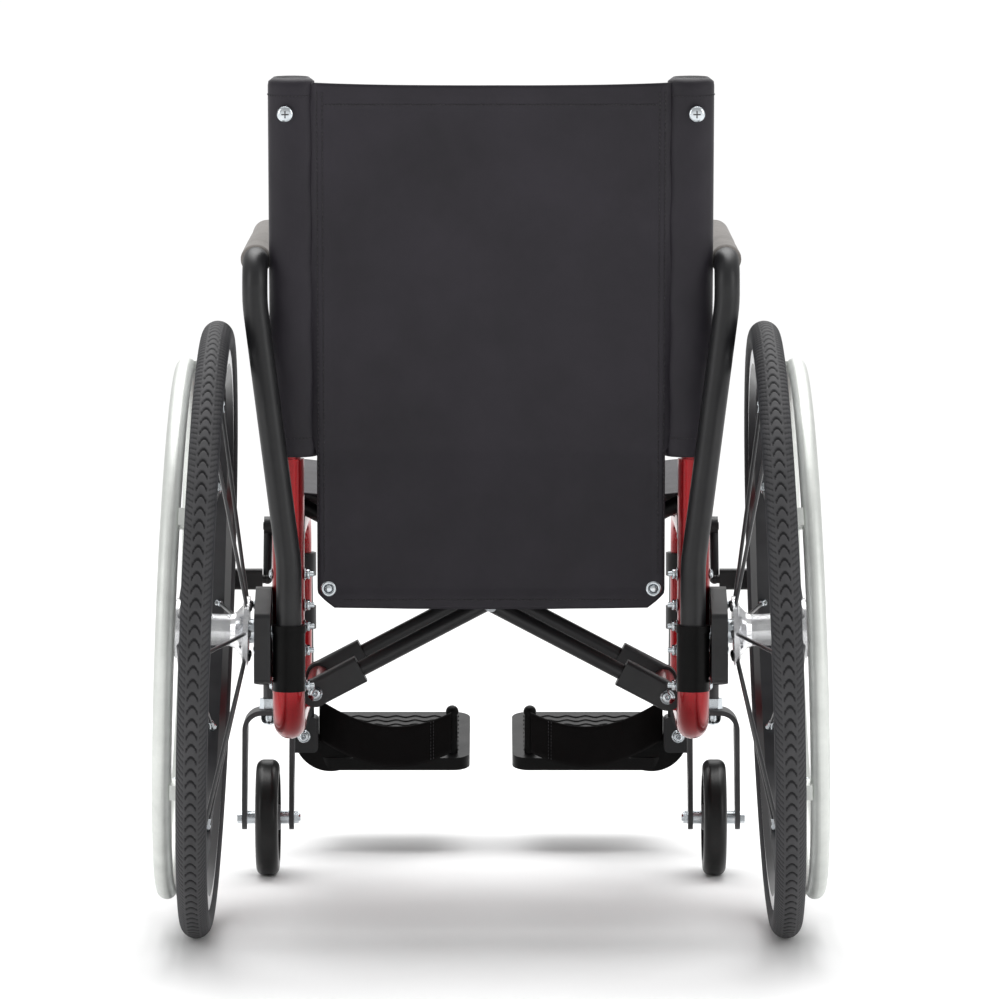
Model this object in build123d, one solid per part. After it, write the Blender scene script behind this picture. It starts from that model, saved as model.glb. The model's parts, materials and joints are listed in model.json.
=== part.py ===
"""Manual folding wheelchair, one STEP file for each separate piece.

Millimetres. +Y is forward, +X is the chair's right, +Z is up. The origin is on the floor, below the
middle of the whole chair. Pieces that come in pairs are built once for each side: side is -1 on the
left and +1 on the right. Places along the chair are given as distances forward of the rear axle.
"""

import os
from math import atan2, cos, degrees, hypot, radians, sin, tan

from build123d import *

# ---- Driving dimensions -------------------------------------------------------------------------
FRAME_X = 201.0            # centre plane of each side frame
WHEEL_X = 280.0            # rear wheel's middle plane, at hub height
TYRE_RADIUS = 305.0        # rear tyre
TYRE_HALF_WIDTH = 15.0
CAMBER = 2.1               # degrees, wheel tops lean inwards
FOOT_FRONT = 727.0         # front edge of the footplates, forward of the axle
BACK_TOP = 846.0           # top of the back canes
RECLINE = 7.0              # degrees, back canes
SEAT_RAIL_Z = 423.0        # centre of the seat rails

# ---- Places worked out from them -----------------------------------------------------------------
AXLE_Y = (TYRE_RADIUS - FOOT_FRONT) / 2
HUB_Z = (TYRE_RADIUS - TYRE_HALF_WIDTH) * cos(radians(CAMBER)) + TYRE_HALF_WIDTH

# ---- Side frame ----------------------------------------------------------------------------------
UPRIGHT_Y = 28.0           # rear upright
FRONT_Y = 400.0            # front upright
LOWER_RAIL_Z = 203.0
TOP_RAIL_Z = 386.0
MAIN_RADIUS = 16.0         # rear upright and lower rail
SLIM_RADIUS = 12.7         # front upright, top rail and back cane
MAIN_WALL = 3.2
SLIM_WALL = 2.0
UPRIGHT_TOP = 472.0
CANE_FOOT = 420.0          # the cane goes this far down inside the upright
CANE_BEND_Z = 480.0        # the cane leans back above here
SCREW_Z = 814.0            # back upholstery screw
SCREW_RADIUS = 2.5
REAR_BEND = 45.0
FRONT_BEND = 36.0
BOSS_RADIUS = 11.0         # carries a brace's lower pivot

# ---- Rear wheel, in its own frame: r from the axle, z outwards from the wheel's middle plane ------
RIM_INNER_RADIUS = 251.0
HANDRIM_RADIUS = 258.0
HANDRIM_TUBE = 9.5
HANDRIM_Z = 30.0
HANDRIM_TABS = 6
SPOKES_PER_FLANGE = 6
SPOKE_RADIUS = 1.9
AXLE_RADIUS = 6.35
FLANGE_IN_Z = -41.0
FLANGE_IN_RADIUS = 34.5
FLANGE_OUT_Z = 31.0
FLANGE_OUT_RADIUS = 30.0
BUTTON_RADIUS = 3.6
RUN = 0.05                 # radial clearance of a shaft that turns in its bore

# ---- Axle plate and its bolts ---------------------------------------------------------------------
PLATE_IN = FRAME_X + MAIN_RADIUS + 0.1
PLATE_OUT = 233.0
BOLT_HEIGHTS = (246.0, 281.0, 305.0, 326.0, 357.0)
PLATE_BOLTS = BOLT_HEIGHTS[1:4]
BOLT_RADIUS = 3.0

# ---- Armrest --------------------------------------------------------------------------------------
ARM_Y = -20.0
ARM_X = 199.0
ARM_LEAN_FOOT = 372.0      # the tube leans outwards between these two heights
ARM_LEAN_TOP = 628.0
ARM_RADIUS = 12.5
ARM_TOP_X = 231.5
ARM_PAD_Z = 669.0
ARM_PAD_RADIUS = 15.3
ARM_LENGTH = 372.0         # level run, from the bend's corner to the tube's front end
ARM_RISE = 10.0            # how much it climbs over that run
RECEIVER_RADIUS = 16.0
RECEIVER_LOW = 250.0
RECEIVER_HIGH = 311.0

# ---- Caster ---------------------------------------------------------------------------------------
STEM_X = 235.0
STEM_Y = 440.0
TRAIL = 35.0
CASTER_RADIUS = 61.0
CASTER_HALF_WIDTH = 12.0
CROWN_Z = 172.0
FORK_HALF_WIDTH = 27.3
FORK_THICK = 5.0
FORK_BEND = 20.0           # outer corner radius of the crown
STEM_RADIUS = 6.0
HOUSING_LOW = 199.0
HOUSING_HIGH = 262.0
HOUSING_RADIUS = 16.0
HOUSING_BORE_TOP = 256.0
STEM_TOP = 255.0
CASTER_AXLE_RADIUS = 4.0

# ---- Cross brace ------------------------------------------------------------------------------------
PIVOT_X = 177.5
PIVOT_Z = 225.0
BRACE_RADIUS = 8.0
BRACE_LEFT_Y = (142.0, 292.0)   # the two tubes of the brace that pivots on the left
BRACE_RIGHT_Y = (112.0, 262.0)
PIVOT_PIN_RADIUS = 5.0
CENTRE_PIN_RADIUS = 4.0
CENTRE_BOLT_REACH = 14.0   # beyond the brace tube's centre line
EAR_RADIUS = 14.0
EAR_HALF = 10.5            # half the thickness of a brace's pivot casting
EAR_REACH = 52.0           # how far the casting runs up the brace tube
SEAT_RAIL_RADIUS = 11.0
SEAT_RAIL_X = 200.0
SEAT_RAIL_REAR = 50.0
SEAT_RAIL_FRONT = 456.0
SADDLE_Y = (75.0, 332.0)

# ---- Hanger and footplate ------------------------------------------------------------------------
HANGER_RADIUS = 11.0
HANGER_TOP_Z = 330.0
HANGER_STRUT_Z = 274.0
HANGER_KNEE_Y = 500.0
HANGER_FOOT_Y = 556.0
HINGE_Z = 130.0
HANGER_BEND = 45.0
STRUT_RADIUS = 8.0
HINGE_PIN_RADIUS = 5.0
COLLAR_RADIUS = 17.5
COLLAR_HALF = 12.0
FOOT_REAR = 577.0
FOOT_INNER_X = 23.0
FOOT_OUTER_X = 190.0
FOOT_THICK = 14.0
FOOT_REAR_Z = 88.0         # underside at the rear edge
FOOT_PITCH = 12.0          # degrees, toes up
POST_X = 42.0
POST_Y = 592.0
KNOB_Z = 150.0
LUG_RADIUS = 12.0
WING_X = 140.0             # where the raised corner starts
WING_DEPTH = 18.0
LOOP_LOW = 98.0
LOOP_HEIGHT = 44.0

# ---- Wheel lock -----------------------------------------------------------------------------------
SHOE_PIVOT = (345.0, 375.0)   # (y, z)
LEVER_PIVOT = (375.0, 388.0)
SHOE_FRONT_Y = 325.0
SHOE_Z = 322.0
LOCK_PIN_RADIUS = 4.0
SHOE_ARM_X = 232.0
SHOE_ARM_RADIUS = 4.5

# ---- Soft parts -----------------------------------------------------------------------------------
SLEEVE_LOW = 476.0
PANEL_TOP = 838.0
PANEL_LOW = 334.0
SEAM_X = 172.0
SLEEVE_OUT_X = 215.5


# ---- Helpers ---------------------------------------------------------------------------------------
def at(side, x, y, z):
    """A point on one side of the chair, y being the distance forward of the rear axle."""
    return (side * x, AXLE_Y + y, z)


def tube(points, bend, radius, wall=0.0):
    """A round tube along corner points; wall 0 gives a solid bar."""
    path = FilletPolyline(*points, radius=bend) if len(points) > 2 else Line(*points)
    section = Circle(radius) - Circle(radius - wall) if wall else Circle(radius)
    return sweep(Plane(origin=path @ 0, z_dir=path % 0) * section, path=path)


def rod(start, end, radius):
    """A straight round bar between two points."""
    line = Line(start, end)
    return extrude(Plane(origin=start, z_dir=line % 0) * Circle(radius), line.length)


def block(side, x, y, z):
    """A box from its x, y and z ranges on one side of the chair."""
    low, high = Vector(*at(side, x[0], y[0], z[0])), Vector(*at(side, x[1], y[1], z[1]))
    size = high - low
    return Pos(*((low + high) * 0.5)) * Box(abs(size.X), abs(size.Y), abs(size.Z))


def side_plate(side, x, outline):
    """An upright plate between two x values; its outline is a sketch of (y, z)."""
    face = Plane(origin=at(side, x[0], 0, 0), x_dir=(0, 1, 0), z_dir=(1, 0, 0)) * outline
    return extrude(face, side * (x[1] - x[0]))


def ring_section(*points):
    """A solid of revolution about Z from its (r, z) outline."""
    return revolve(Plane.XZ * make_face(Polyline(*points, close=True)), Axis.Z)


def wheel_plane(side):
    """The rear wheel's own frame: z outwards along the cambered axle."""
    lean = radians(CAMBER)
    return Plane(
        origin=at(side, WHEEL_X, 0, HUB_Z),
        x_dir=(0, side, 0),
        z_dir=(side * cos(lean), 0, sin(lean)),
    )


def on_wheel(side, shape):
    return wheel_plane(side) * shape


def cane_y(z):
    """Centre line of the back cane."""
    return UPRIGHT_Y - max(z - CANE_BEND_Z, 0) * tan(radians(RECLINE))


# ---- Side frame --------------------------------------------------------------------------------------
def frame_tubes(side, main, slim):
    """Rear upright with lower rail, and front upright with top rail, as solid bars."""
    rear = tube(
        [
            at(side, FRAME_X, UPRIGHT_Y, UPRIGHT_TOP),
            at(side, FRAME_X, UPRIGHT_Y, LOWER_RAIL_Z),
            at(side, FRAME_X, FRONT_Y, LOWER_RAIL_Z),
        ],
        REAR_BEND, main,
    )
    front = tube(
        [
            at(side, FRAME_X, FRONT_Y, LOWER_RAIL_Z - MAIN_RADIUS),
            at(side, FRAME_X, FRONT_Y, TOP_RAIL_Z),
            at(side, FRAME_X, UPRIGHT_Y, TOP_RAIL_Z),
        ],
        FRONT_BEND, slim,
    )
    return rear, front


def brace_boss_span(side):
    """Where the frame's pivot boss lies: between the ears of the brace that hangs on it."""
    rear, front = BRACE_LEFT_Y if side < 0 else BRACE_RIGHT_Y
    return rear + EAR_HALF + 0.5, front - EAR_HALF - 0.5


def side_frame(side):
    rear, front = frame_tubes(side, MAIN_RADIUS, SLIM_RADIUS)
    rear_bore, front_bore = frame_tubes(side, MAIN_RADIUS - MAIN_WALL, SLIM_RADIUS - SLIM_WALL)
    y_low, y_high = brace_boss_span(side)
    boss = rod(at(side, PIVOT_X, y_low, PIVOT_Z), at(side, PIVOT_X, y_high, PIVOT_Z), BOSS_RADIUS)
    web = block(side, (PIVOT_X, FRAME_X), (y_low, y_high), (LOWER_RAIL_Z + 6, PIVOT_Z - 4))
    end_cap = Pos(*at(side, FRAME_X, FRONT_Y, LOWER_RAIL_Z)) * Cylinder(SLIM_RADIUS, 2 * MAIN_RADIUS)
    pin_bore = rod(
        at(side, PIVOT_X, y_low - 1, PIVOT_Z), at(side, PIVOT_X, y_high + 1, PIVOT_Z),
        PIVOT_PIN_RADIUS + RUN,
    )
    frame = rear + front + boss + web + end_cap
    frame -= rear_bore - end_cap
    frame -= front_bore - end_cap
    frame -= pin_bore
    for z in BOLT_HEIGHTS:
        frame -= rod(at(side, 180, UPRIGHT_Y, z), at(side, 225, UPRIGHT_Y, z), BOLT_RADIUS + RUN)
    return frame


def back_cane(side):
    cane = tube(
        [
            at(side, FRAME_X, UPRIGHT_Y, CANE_FOOT),
            at(side, FRAME_X, UPRIGHT_Y, CANE_BEND_Z),
            at(side, FRAME_X, cane_y(BACK_TOP), BACK_TOP),
        ],
        80.0, SLIM_RADIUS, SLIM_WALL,
    )
    return cane - screw_shank(side, SCREW_RADIUS + RUN)


def screw_shank(side, radius):
    y = cane_y(SCREW_Z)
    return rod(at(side, FRAME_X, y - 17, SCREW_Z), at(side, FRAME_X, y, SCREW_Z), radius)


def axle_plate(side):
    outline = Polyline(
        (-32, 254), (46, 254), (46, 326), (36, 344), (18, 344), (-32, 322), close=True
    )
    face = fillet(make_face(outline).vertices(), 6.0)
    plate = side_plate(side, (PLATE_IN, PLATE_OUT), face)
    plate -= on_wheel(side, Pos(0, 0, -55) * Cylinder(AXLE_RADIUS + RUN, 60))
    for z in PLATE_BOLTS:
        plate -= rod(at(side, 210, UPRIGHT_Y, z), at(side, 240, UPRIGHT_Y, z), BOLT_RADIUS + RUN)
    return plate


def frame_bolts(side):
    """Bolts through the rear upright, with domed nuts inside, and the back upholstery screw."""
    bolts = []
    for z in BOLT_HEIGHTS:
        head_at = PLATE_OUT if z in PLATE_BOLTS else FRAME_X + MAIN_RADIUS
        inner = FRAME_X - MAIN_RADIUS
        shank = rod(at(side, inner - 4, UPRIGHT_Y, z), at(side, head_at + 1, UPRIGHT_Y, z), BOLT_RADIUS)
        head = rod(at(side, head_at + 0.1, UPRIGHT_Y, z), at(side, head_at + 3.4, UPRIGHT_Y, z), 5.5)
        nut = rod(at(side, inner - 11, UPRIGHT_Y, z), at(side, inner - 0.1, UPRIGHT_Y, z), 5.2)
        dome = Pos(*at(side, inner - 11, UPRIGHT_Y, z)) * Sphere(4.6)
        bolts.append(shank + head + nut + dome)
    rear = cane_y(SCREW_Z) - 16.8
    pan = rod(at(side, FRAME_X, rear - 3, SCREW_Z), at(side, FRAME_X, rear, SCREW_Z), 8.0)
    bolts.append(screw_shank(side, SCREW_RADIUS) + pan)
    return Compound(children=bolts)


# ---- Rear wheel --------------------------------------------------------------------------------------
def rear_axle(side):
    """Quick-release axle with its inner nut, spacer and outer end, bored for the release button."""
    pin = Pos(0, 0, -14.5) * Cylinder(AXLE_RADIUS, 113)
    nut = Pos(0, 0, -67.3) * extrude(RegularPolygon(8.5, 6), 3.4, both=True)
    spacer = Pos(0, 0, -44.0) * Cylinder(12.0, 4.8)
    head = Pos(0, 0, 40.5) * Cylinder(11.0, 5.0)
    bore = Pos(0, 0, 34.0) * Cylinder(BUTTON_RADIUS + RUN, 20.0)
    return on_wheel(side, pin + nut + spacer + head - bore)


def release_button(side):
    return on_wheel(side, Pos(0, 0, 38.0) * Cylinder(BUTTON_RADIUS, 17.0))


def hub(side):
    """Turned hub: big inner flange, slim barrel, flared outer flange."""
    body = ring_section(
        (AXLE_RADIUS + RUN, FLANGE_IN_Z), (FLANGE_IN_RADIUS, FLANGE_IN_Z),
        (FLANGE_IN_RADIUS, FLANGE_IN_Z + 5), (25, FLANGE_IN_Z + 7), (18, FLANGE_IN_Z + 13),
        (16, FLANGE_IN_Z + 18), (16, 8), (19, 16), (FLANGE_OUT_RADIUS, FLANGE_OUT_Z - 6),
        (FLANGE_OUT_RADIUS, FLANGE_OUT_Z), (15, FLANGE_OUT_Z + 1), (14, FLANGE_OUT_Z + 6),
        (AXLE_RADIUS + RUN, FLANGE_OUT_Z + 6),
    )
    pocket = Pos(0, 0, FLANGE_IN_Z) * extrude(RectangleRounded(9, 9, 2), 9)
    for turn in range(SPOKES_PER_FLANGE):
        body -= Rot(0, 0, (turn + 0.5) * 360 / SPOKES_PER_FLANGE) * Pos(24, 0, 0) * pocket
    return on_wheel(side, body)


def spokes(side):
    """Thick straight spokes, alternately from the inner and the outer flange."""
    bars = []
    for turn in range(2 * SPOKES_PER_FLANGE):
        inner = turn % 2 == 0
        foot_r = (FLANGE_IN_RADIUS if inner else FLANGE_OUT_RADIUS) - 6
        foot_z = FLANGE_IN_Z + 2.5 if inner else FLANGE_OUT_Z - 3
        bar = rod((foot_r, 0, foot_z), (RIM_INNER_RADIUS + 3, 0, 0), SPOKE_RADIUS)
        bars.append(on_wheel(side, Rot(0, 0, turn * 180 / SPOKES_PER_FLANGE) * bar))
    return Compound(children=bars)


def rim(side):
    outside = ring_section(
        (277.5, 9.3), (277.5, 11.3), (262, 12), (RIM_INNER_RADIUS, 6), (RIM_INNER_RADIUS, -6),
        (262, -12), (277.5, -11.3), (277.5, -9.3), (269.3, -9.3), (269.3, 9.3),
    )
    hollow = ring_section((266.5, 8.5), (262, 9), (254, 4.5), (254, -4.5), (262, -9), (266.5, -8.5))
    return on_wheel(side, outside - hollow)


def tyre(side):
    crown = TYRE_RADIUS - TYRE_HALF_WIDTH
    section = Pos(crown, 0) * Circle(TYRE_HALF_WIDTH) + Pos(278, 0) * Rectangle(16.8, 18)
    section -= Pos(crown - 1, 0) * Circle(TYRE_HALF_WIDTH - 4.5)
    return on_wheel(side, revolve(Plane.XZ * section, Axis.Z))


def handrim(side):
    """Hollow push ring with its welded tabs."""
    ring = Pos(0, 0, HANDRIM_Z) * Torus(HANDRIM_RADIUS, HANDRIM_TUBE)
    tab = Pos(260, 0, 17.2) * Box(11, 18, 9.8)
    for turn in range(HANDRIM_TABS):
        ring += Rot(0, 0, (turn + 0.5) * 360 / HANDRIM_TABS) * tab
    ring -= Pos(0, 0, HANDRIM_Z) * Torus(HANDRIM_RADIUS, HANDRIM_TUBE - 1.6)
    return on_wheel(side, ring)


# ---- Armrest -----------------------------------------------------------------------------------------
def arm_receiver(side):
    cup = rod(
        at(side, ARM_X, ARM_Y, RECEIVER_LOW - 4), at(side, ARM_X, ARM_Y, RECEIVER_HIGH), RECEIVER_RADIUS
    )
    rim_line = rod(
        at(side, ARM_X, ARM_Y, RECEIVER_HIGH - 7), at(side, ARM_X, ARM_Y, RECEIVER_HIGH), RECEIVER_RADIUS + 1
    )
    bracket = block(side, (187, 206), (ARM_Y + 8, UPRIGHT_Y - 6), (256, 292))
    bore = rod(
        at(side, ARM_X, ARM_Y, RECEIVER_LOW), at(side, ARM_X, ARM_Y, RECEIVER_HIGH + 1), ARM_RADIUS + RUN
    )
    upright = rod(
        at(side, FRAME_X, UPRIGHT_Y, 250), at(side, FRAME_X, UPRIGHT_Y, 330), MAIN_RADIUS + RUN
    )
    return cup + rim_line + bracket - bore - upright


def arm_tube(side):
    return tube(
        [
            at(side, ARM_X, ARM_Y, RECEIVER_LOW + 0.2),
            at(side, ARM_X, ARM_Y, ARM_LEAN_FOOT),
            at(side, ARM_TOP_X, ARM_Y, ARM_LEAN_TOP),
            at(side, ARM_TOP_X, ARM_Y, ARM_PAD_Z),
            at(side, ARM_TOP_X, ARM_Y + ARM_LENGTH, ARM_PAD_Z + ARM_RISE),
        ],
        [150, 150, 24], ARM_RADIUS, SLIM_WALL,
    )


def arm_pad(side):
    """Foam sleeve on the armrest's level run, closed over the tube's front end."""
    def along(distance):
        return at(side, ARM_TOP_X, ARM_Y + distance, ARM_PAD_Z + distance * ARM_RISE / ARM_LENGTH)

    sleeve = rod(along(27), along(ARM_LENGTH + 5), ARM_PAD_RADIUS)
    sleeve = fillet(sleeve.edges(), 3.0)
    return sleeve - rod(along(27), along(ARM_LENGTH + 0.5), ARM_RADIUS + RUN)


# ---- Caster ------------------------------------------------------------------------------------------
def caster_housing(side):
    """Stem bearing housing on a bracket at the frame's front corner."""
    body = rod(at(side, STEM_X, STEM_Y, HOUSING_LOW), at(side, STEM_X, STEM_Y, HOUSING_HIGH), HOUSING_RADIUS)
    bracket = block(side, (FRAME_X + 2, STEM_X), (FRONT_Y + 2, STEM_Y), (206, 258))
    bore = rod(
        at(side, STEM_X, STEM_Y, HOUSING_LOW - 1), at(side, STEM_X, STEM_Y, HOUSING_BORE_TOP),
        STEM_RADIUS + RUN,
    )
    rear, front = frame_tubes(side, MAIN_RADIUS + RUN, SLIM_RADIUS + RUN)
    return body + bracket - bore - rear - front


def caster_fork(side):
    """Inverted U of flat strap, swept back to the axle, with the stem pressed into its crown."""
    tall = CROWN_Z - 46
    outer = Pos(0, 46 + tall / 2) * Rectangle(2 * FORK_HALF_WIDTH, tall)
    outer = fillet(outer.vertices().group_by(Axis.Y)[-1], FORK_BEND)
    inner = Pos(0, 40 + tall / 2) * Rectangle(2 * (FORK_HALF_WIDTH - FORK_THICK), tall + 2)
    inner = fillet(inner.vertices().group_by(Axis.Y)[-1], FORK_BEND - FORK_THICK)
    front_view = Plane(origin=at(side, STEM_X, 350, 0), x_dir=(1, 0, 0), z_dir=(0, -1, 0))
    strap = extrude(front_view * (outer - inner), -150)
    crown = Pos(STEM_Y, CROWN_Z - 12) * Rectangle(44, 26)
    foot = Pos(STEM_Y - TRAIL, CASTER_RADIUS) * Circle(13)
    outline = make_hull(crown.edges() + foot.edges())
    fork = strap & side_plate(side, (STEM_X - 40, STEM_X + 40), outline)
    fork += rod(at(side, STEM_X, STEM_Y, CROWN_Z - 2), at(side, STEM_X, STEM_Y, STEM_TOP), STEM_RADIUS)
    axle_y = STEM_Y - TRAIL
    return fork - rod(
        at(side, STEM_X - 40, axle_y, CASTER_RADIUS), at(side, STEM_X + 40, axle_y, CASTER_RADIUS),
        CASTER_AXLE_RADIUS + RUN,
    )


def caster_bolts(side):
    """Stem nut above the crown, domed nut below it, and the axle bolt with its spacers."""
    y = STEM_Y - TRAIL
    stem_nut = extrude(Plane(origin=at(side, STEM_X, STEM_Y, CROWN_Z + 0.1)) * RegularPolygon(10, 6), 11)
    stem_nut -= rod(at(side, STEM_X, STEM_Y, CROWN_Z - 5), at(side, STEM_X, STEM_Y, 190), STEM_RADIUS + RUN)
    under = CROWN_Z - FORK_THICK - 0.3
    dome = rod(at(side, STEM_X, STEM_Y, under - 12), at(side, STEM_X, STEM_Y, under), 8.5)
    dome = fillet(dome.edges().sort_by(Axis.Z)[0], 7)
    gap = FORK_HALF_WIDTH - FORK_THICK
    bolt = rod(
        at(side, STEM_X - FORK_HALF_WIDTH - 7, y, CASTER_RADIUS),
        at(side, STEM_X + FORK_HALF_WIDTH + 1, y, CASTER_RADIUS), CASTER_AXLE_RADIUS,
    )
    for way in (-1, 1):
        near = at(side, STEM_X + way * (CASTER_HALF_WIDTH + 1.2), y, CASTER_RADIUS)
        far = at(side, STEM_X + way * (gap - 0.1), y, CASTER_RADIUS)
        bolt += rod(near, far, 7.0)
        cheek = Plane(
            origin=at(side, STEM_X + way * (FORK_HALF_WIDTH + 0.1), y, CASTER_RADIUS), z_dir=(side * way, 0, 0)
        )
        bolt += extrude(cheek * RegularPolygon(6.5, 6), 5)
    return Compound(children=[stem_nut, dome, bolt])


def caster_frame(side):
    return Plane(
        origin=at(side, STEM_X, STEM_Y - TRAIL, CASTER_RADIUS), x_dir=(0, 1, 0), z_dir=(side, 0, 0)
    )


def caster_wheel(side):
    """Moulded wheel: hub boss, thin web, and a rim that carries the tyre."""
    half = CASTER_HALF_WIDTH
    wheel = ring_section(
        (CASTER_AXLE_RADIUS + RUN, half + 1), (13, half + 1), (15, 5), (37, 5), (39, 9), (46, 9),
        (46, -9), (39, -9), (37, -5), (15, -5), (13, -half - 1), (CASTER_AXLE_RADIUS + RUN, -half - 1),
    )
    return caster_frame(side) * wheel


def caster_tyre(side):
    section = Pos((46.1 + CASTER_RADIUS) / 2, 0) * Rectangle(CASTER_RADIUS - 46.1, 2 * CASTER_HALF_WIDTH)
    section = fillet(section.vertices().group_by(Axis.X)[-1], 8)
    return caster_frame(side) * revolve(Plane.XZ * section, Axis.Z)


# ---- Cross brace and seat rails -------------------------------------------------------------------------
def cross_brace(side, tube_places):
    """One brace: pivot castings on this side's lower rail, and the seat rail above the other side."""
    def seat_rail(radius, extra):
        return rod(
            at(-side, SEAT_RAIL_X, SEAT_RAIL_REAR - extra, SEAT_RAIL_Z),
            at(-side, SEAT_RAIL_X, SEAT_RAIL_FRONT + extra, SEAT_RAIL_Z), radius,
        )

    def slant(y, radius):
        return rod(at(side, PIVOT_X, y, PIVOT_Z), at(-side, SEAT_RAIL_X, y, SEAT_RAIL_Z), radius)

    brace = seat_rail(SEAT_RAIL_RADIUS, 0)
    for y in tube_places:
        brace += slant(y, BRACE_RADIUS)
    brace -= seat_rail(SEAT_RAIL_RADIUS - SLIM_WALL, 1)
    for y in tube_places:
        brace -= slant(y, BRACE_RADIUS - SLIM_WALL)
        brace += pivot_casting(side, y)
        brace -= rod(
            at(side, PIVOT_X, y - 20, PIVOT_Z), at(side, PIVOT_X, y + 20, PIVOT_Z),
            PIVOT_PIN_RADIUS + RUN,
        )
        brace -= rod(
            at(1, 0, y - 20, centre_z()), at(1, 0, y + 20, centre_z()), CENTRE_PIN_RADIUS + RUN
        )
    return brace


def pivot_casting(side, y):
    """Rounded ear round the pivot bolt, with a square socket that the brace tube plugs into."""
    ear = rod(at(side, PIVOT_X, y - EAR_HALF, PIVOT_Z), at(side, PIVOT_X, y + EAR_HALF, PIVOT_Z), EAR_RADIUS)
    along = Plane(
        origin=at(side, PIVOT_X, y, PIVOT_Z), x_dir=(-side, 0, brace_slope()), z_dir=(0, 1, 0)
    )
    socket = Box(EAR_REACH, 2 * EAR_RADIUS, 2 * EAR_HALF)
    socket = fillet(socket.edges().filter_by(Axis.X), 4)
    return ear + along * Pos(EAR_REACH / 2, 0, 0) * socket


def brace_slope():
    return (SEAT_RAIL_Z - PIVOT_Z) / (SEAT_RAIL_X + PIVOT_X)


def centre_z():
    """Height of the centre pivot, where the two braces cross."""
    return PIVOT_Z + PIVOT_X * brace_slope()


def lower_pivot_bolt(side, tube_places):
    """Long bolt through both ears of a brace and the frame's boss between them."""
    y_low, y_high = tube_places[0] - EAR_HALF, tube_places[1] + EAR_HALF
    bolt = rod(
        at(side, PIVOT_X, y_low - 1, PIVOT_Z), at(side, PIVOT_X, y_high + 1, PIVOT_Z), PIVOT_PIN_RADIUS
    )
    for y, way in ((y_low, -1), (y_high, 1)):
        face = Plane(origin=at(side, PIVOT_X, y + way * 0.2, PIVOT_Z), z_dir=(0, way, 0))
        bolt += extrude(face * RegularPolygon(8.5, 6), 6)
    return bolt


def centre_bolts():
    """The two bolts on which the braces turn, with a washer in each gap."""
    bolts = []
    clear = BRACE_RADIUS + 0.2
    for rear, front in zip(BRACE_RIGHT_Y, BRACE_LEFT_Y):
        tail, tip = rear - CENTRE_BOLT_REACH, front + CENTRE_BOLT_REACH
        bolt = rod(at(1, 0, tail, centre_z()), at(1, 0, tip, centre_z()), CENTRE_PIN_RADIUS)
        bolt += rod(at(1, 0, tail, centre_z()), at(1, 0, rear - clear, centre_z()), 7.0)
        bolt += rod(at(1, 0, front + clear, centre_z()), at(1, 0, tip, centre_z()), 7.0)
        bolt += rod(at(1, 0, rear + clear, centre_z()), at(1, 0, front - clear, centre_z()), 9.0)
        bolts.append(bolt)
    return bolts


def seat_saddles(side):
    """Open-topped cradles on the top rail that the seat rail rests in."""
    pads = []
    for y in SADDLE_Y:
        pad = block(side, (FRAME_X - 15, FRAME_X + 15), (y - 14, y + 14), (TOP_RAIL_Z + 2, SEAT_RAIL_Z - 3))
        pad -= rod(
            at(side, FRAME_X, y - 30, TOP_RAIL_Z), at(side, FRAME_X, y + 30, TOP_RAIL_Z), SLIM_RADIUS + RUN
        )
        pad -= rod(
            at(side, SEAT_RAIL_X, y - 30, SEAT_RAIL_Z), at(side, SEAT_RAIL_X, y + 30, SEAT_RAIL_Z),
            SEAT_RAIL_RADIUS + 0.8,
        )
        pads.append(pad)
    return Compound(children=pads)


# ---- Hanger and footplate ----------------------------------------------------------------------------------
def hanger(side):
    """Swing-away hanger: two collars on the front upright, a bent tube and a strut."""
    bent = [
        at(side, FRAME_X, FRONT_Y + 8, HANGER_TOP_Z),
        at(side, FRAME_X, HANGER_KNEE_Y, HANGER_TOP_Z),
        at(side, FRAME_X, HANGER_FOOT_Y, HINGE_Z - 16),
    ]
    body = tube(bent, HANGER_BEND, HANGER_RADIUS)
    body += rod(
        at(side, FRAME_X, FRONT_Y + 8, HANGER_STRUT_Z),
        at(side, FRAME_X, HANGER_KNEE_Y + 17, HANGER_STRUT_Z), STRUT_RADIUS,
    )
    for z in (HANGER_STRUT_Z, HANGER_TOP_Z):
        body += rod(
            at(side, FRAME_X, FRONT_Y, z - COLLAR_HALF), at(side, FRAME_X, FRONT_Y, z + COLLAR_HALF),
            COLLAR_RADIUS,
        )
    clamp = block(side, (FRAME_X - 15, FRAME_X + 15), (HANGER_FOOT_Y - 18, FOOT_REAR - 4), (112, 150))
    body += fillet(clamp.edges().filter_by(Axis.Y), 5)
    body -= tube(bent, HANGER_BEND, HANGER_RADIUS - SLIM_WALL) - clamp
    body -= rod(at(side, FRAME_X, FRONT_Y, 230), at(side, FRAME_X, FRONT_Y, 380), SLIM_RADIUS + RUN)
    return body - hinge_pin(side, HINGE_PIN_RADIUS + RUN)


def hinge_pin(side, radius):
    return rod(
        at(side, FRAME_X, HANGER_FOOT_Y - 19, HINGE_Z), at(side, FRAME_X, FOOT_REAR + 27, HINGE_Z), radius
    )


def hinge_bolt(side):
    """Footplate hinge bolt, its head towards the back of the chair."""
    face = Plane(origin=at(side, FRAME_X, HANGER_FOOT_Y - 18.2, HINGE_Z), z_dir=(0, -1, 0))
    return hinge_pin(side, HINGE_PIN_RADIUS) + extrude(face * RegularPolygon(9, 6), 6)


def footplate_plane(side):
    """The plate's own frame: origin at the rear edge's underside, y up the plate's slope."""
    pitch = radians(FOOT_PITCH)
    return Plane(
        origin=at(side, 0, FOOT_REAR, FOOT_REAR_Z), x_dir=(1, 0, 0), z_dir=(0, -sin(pitch), cos(pitch))
    )


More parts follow.
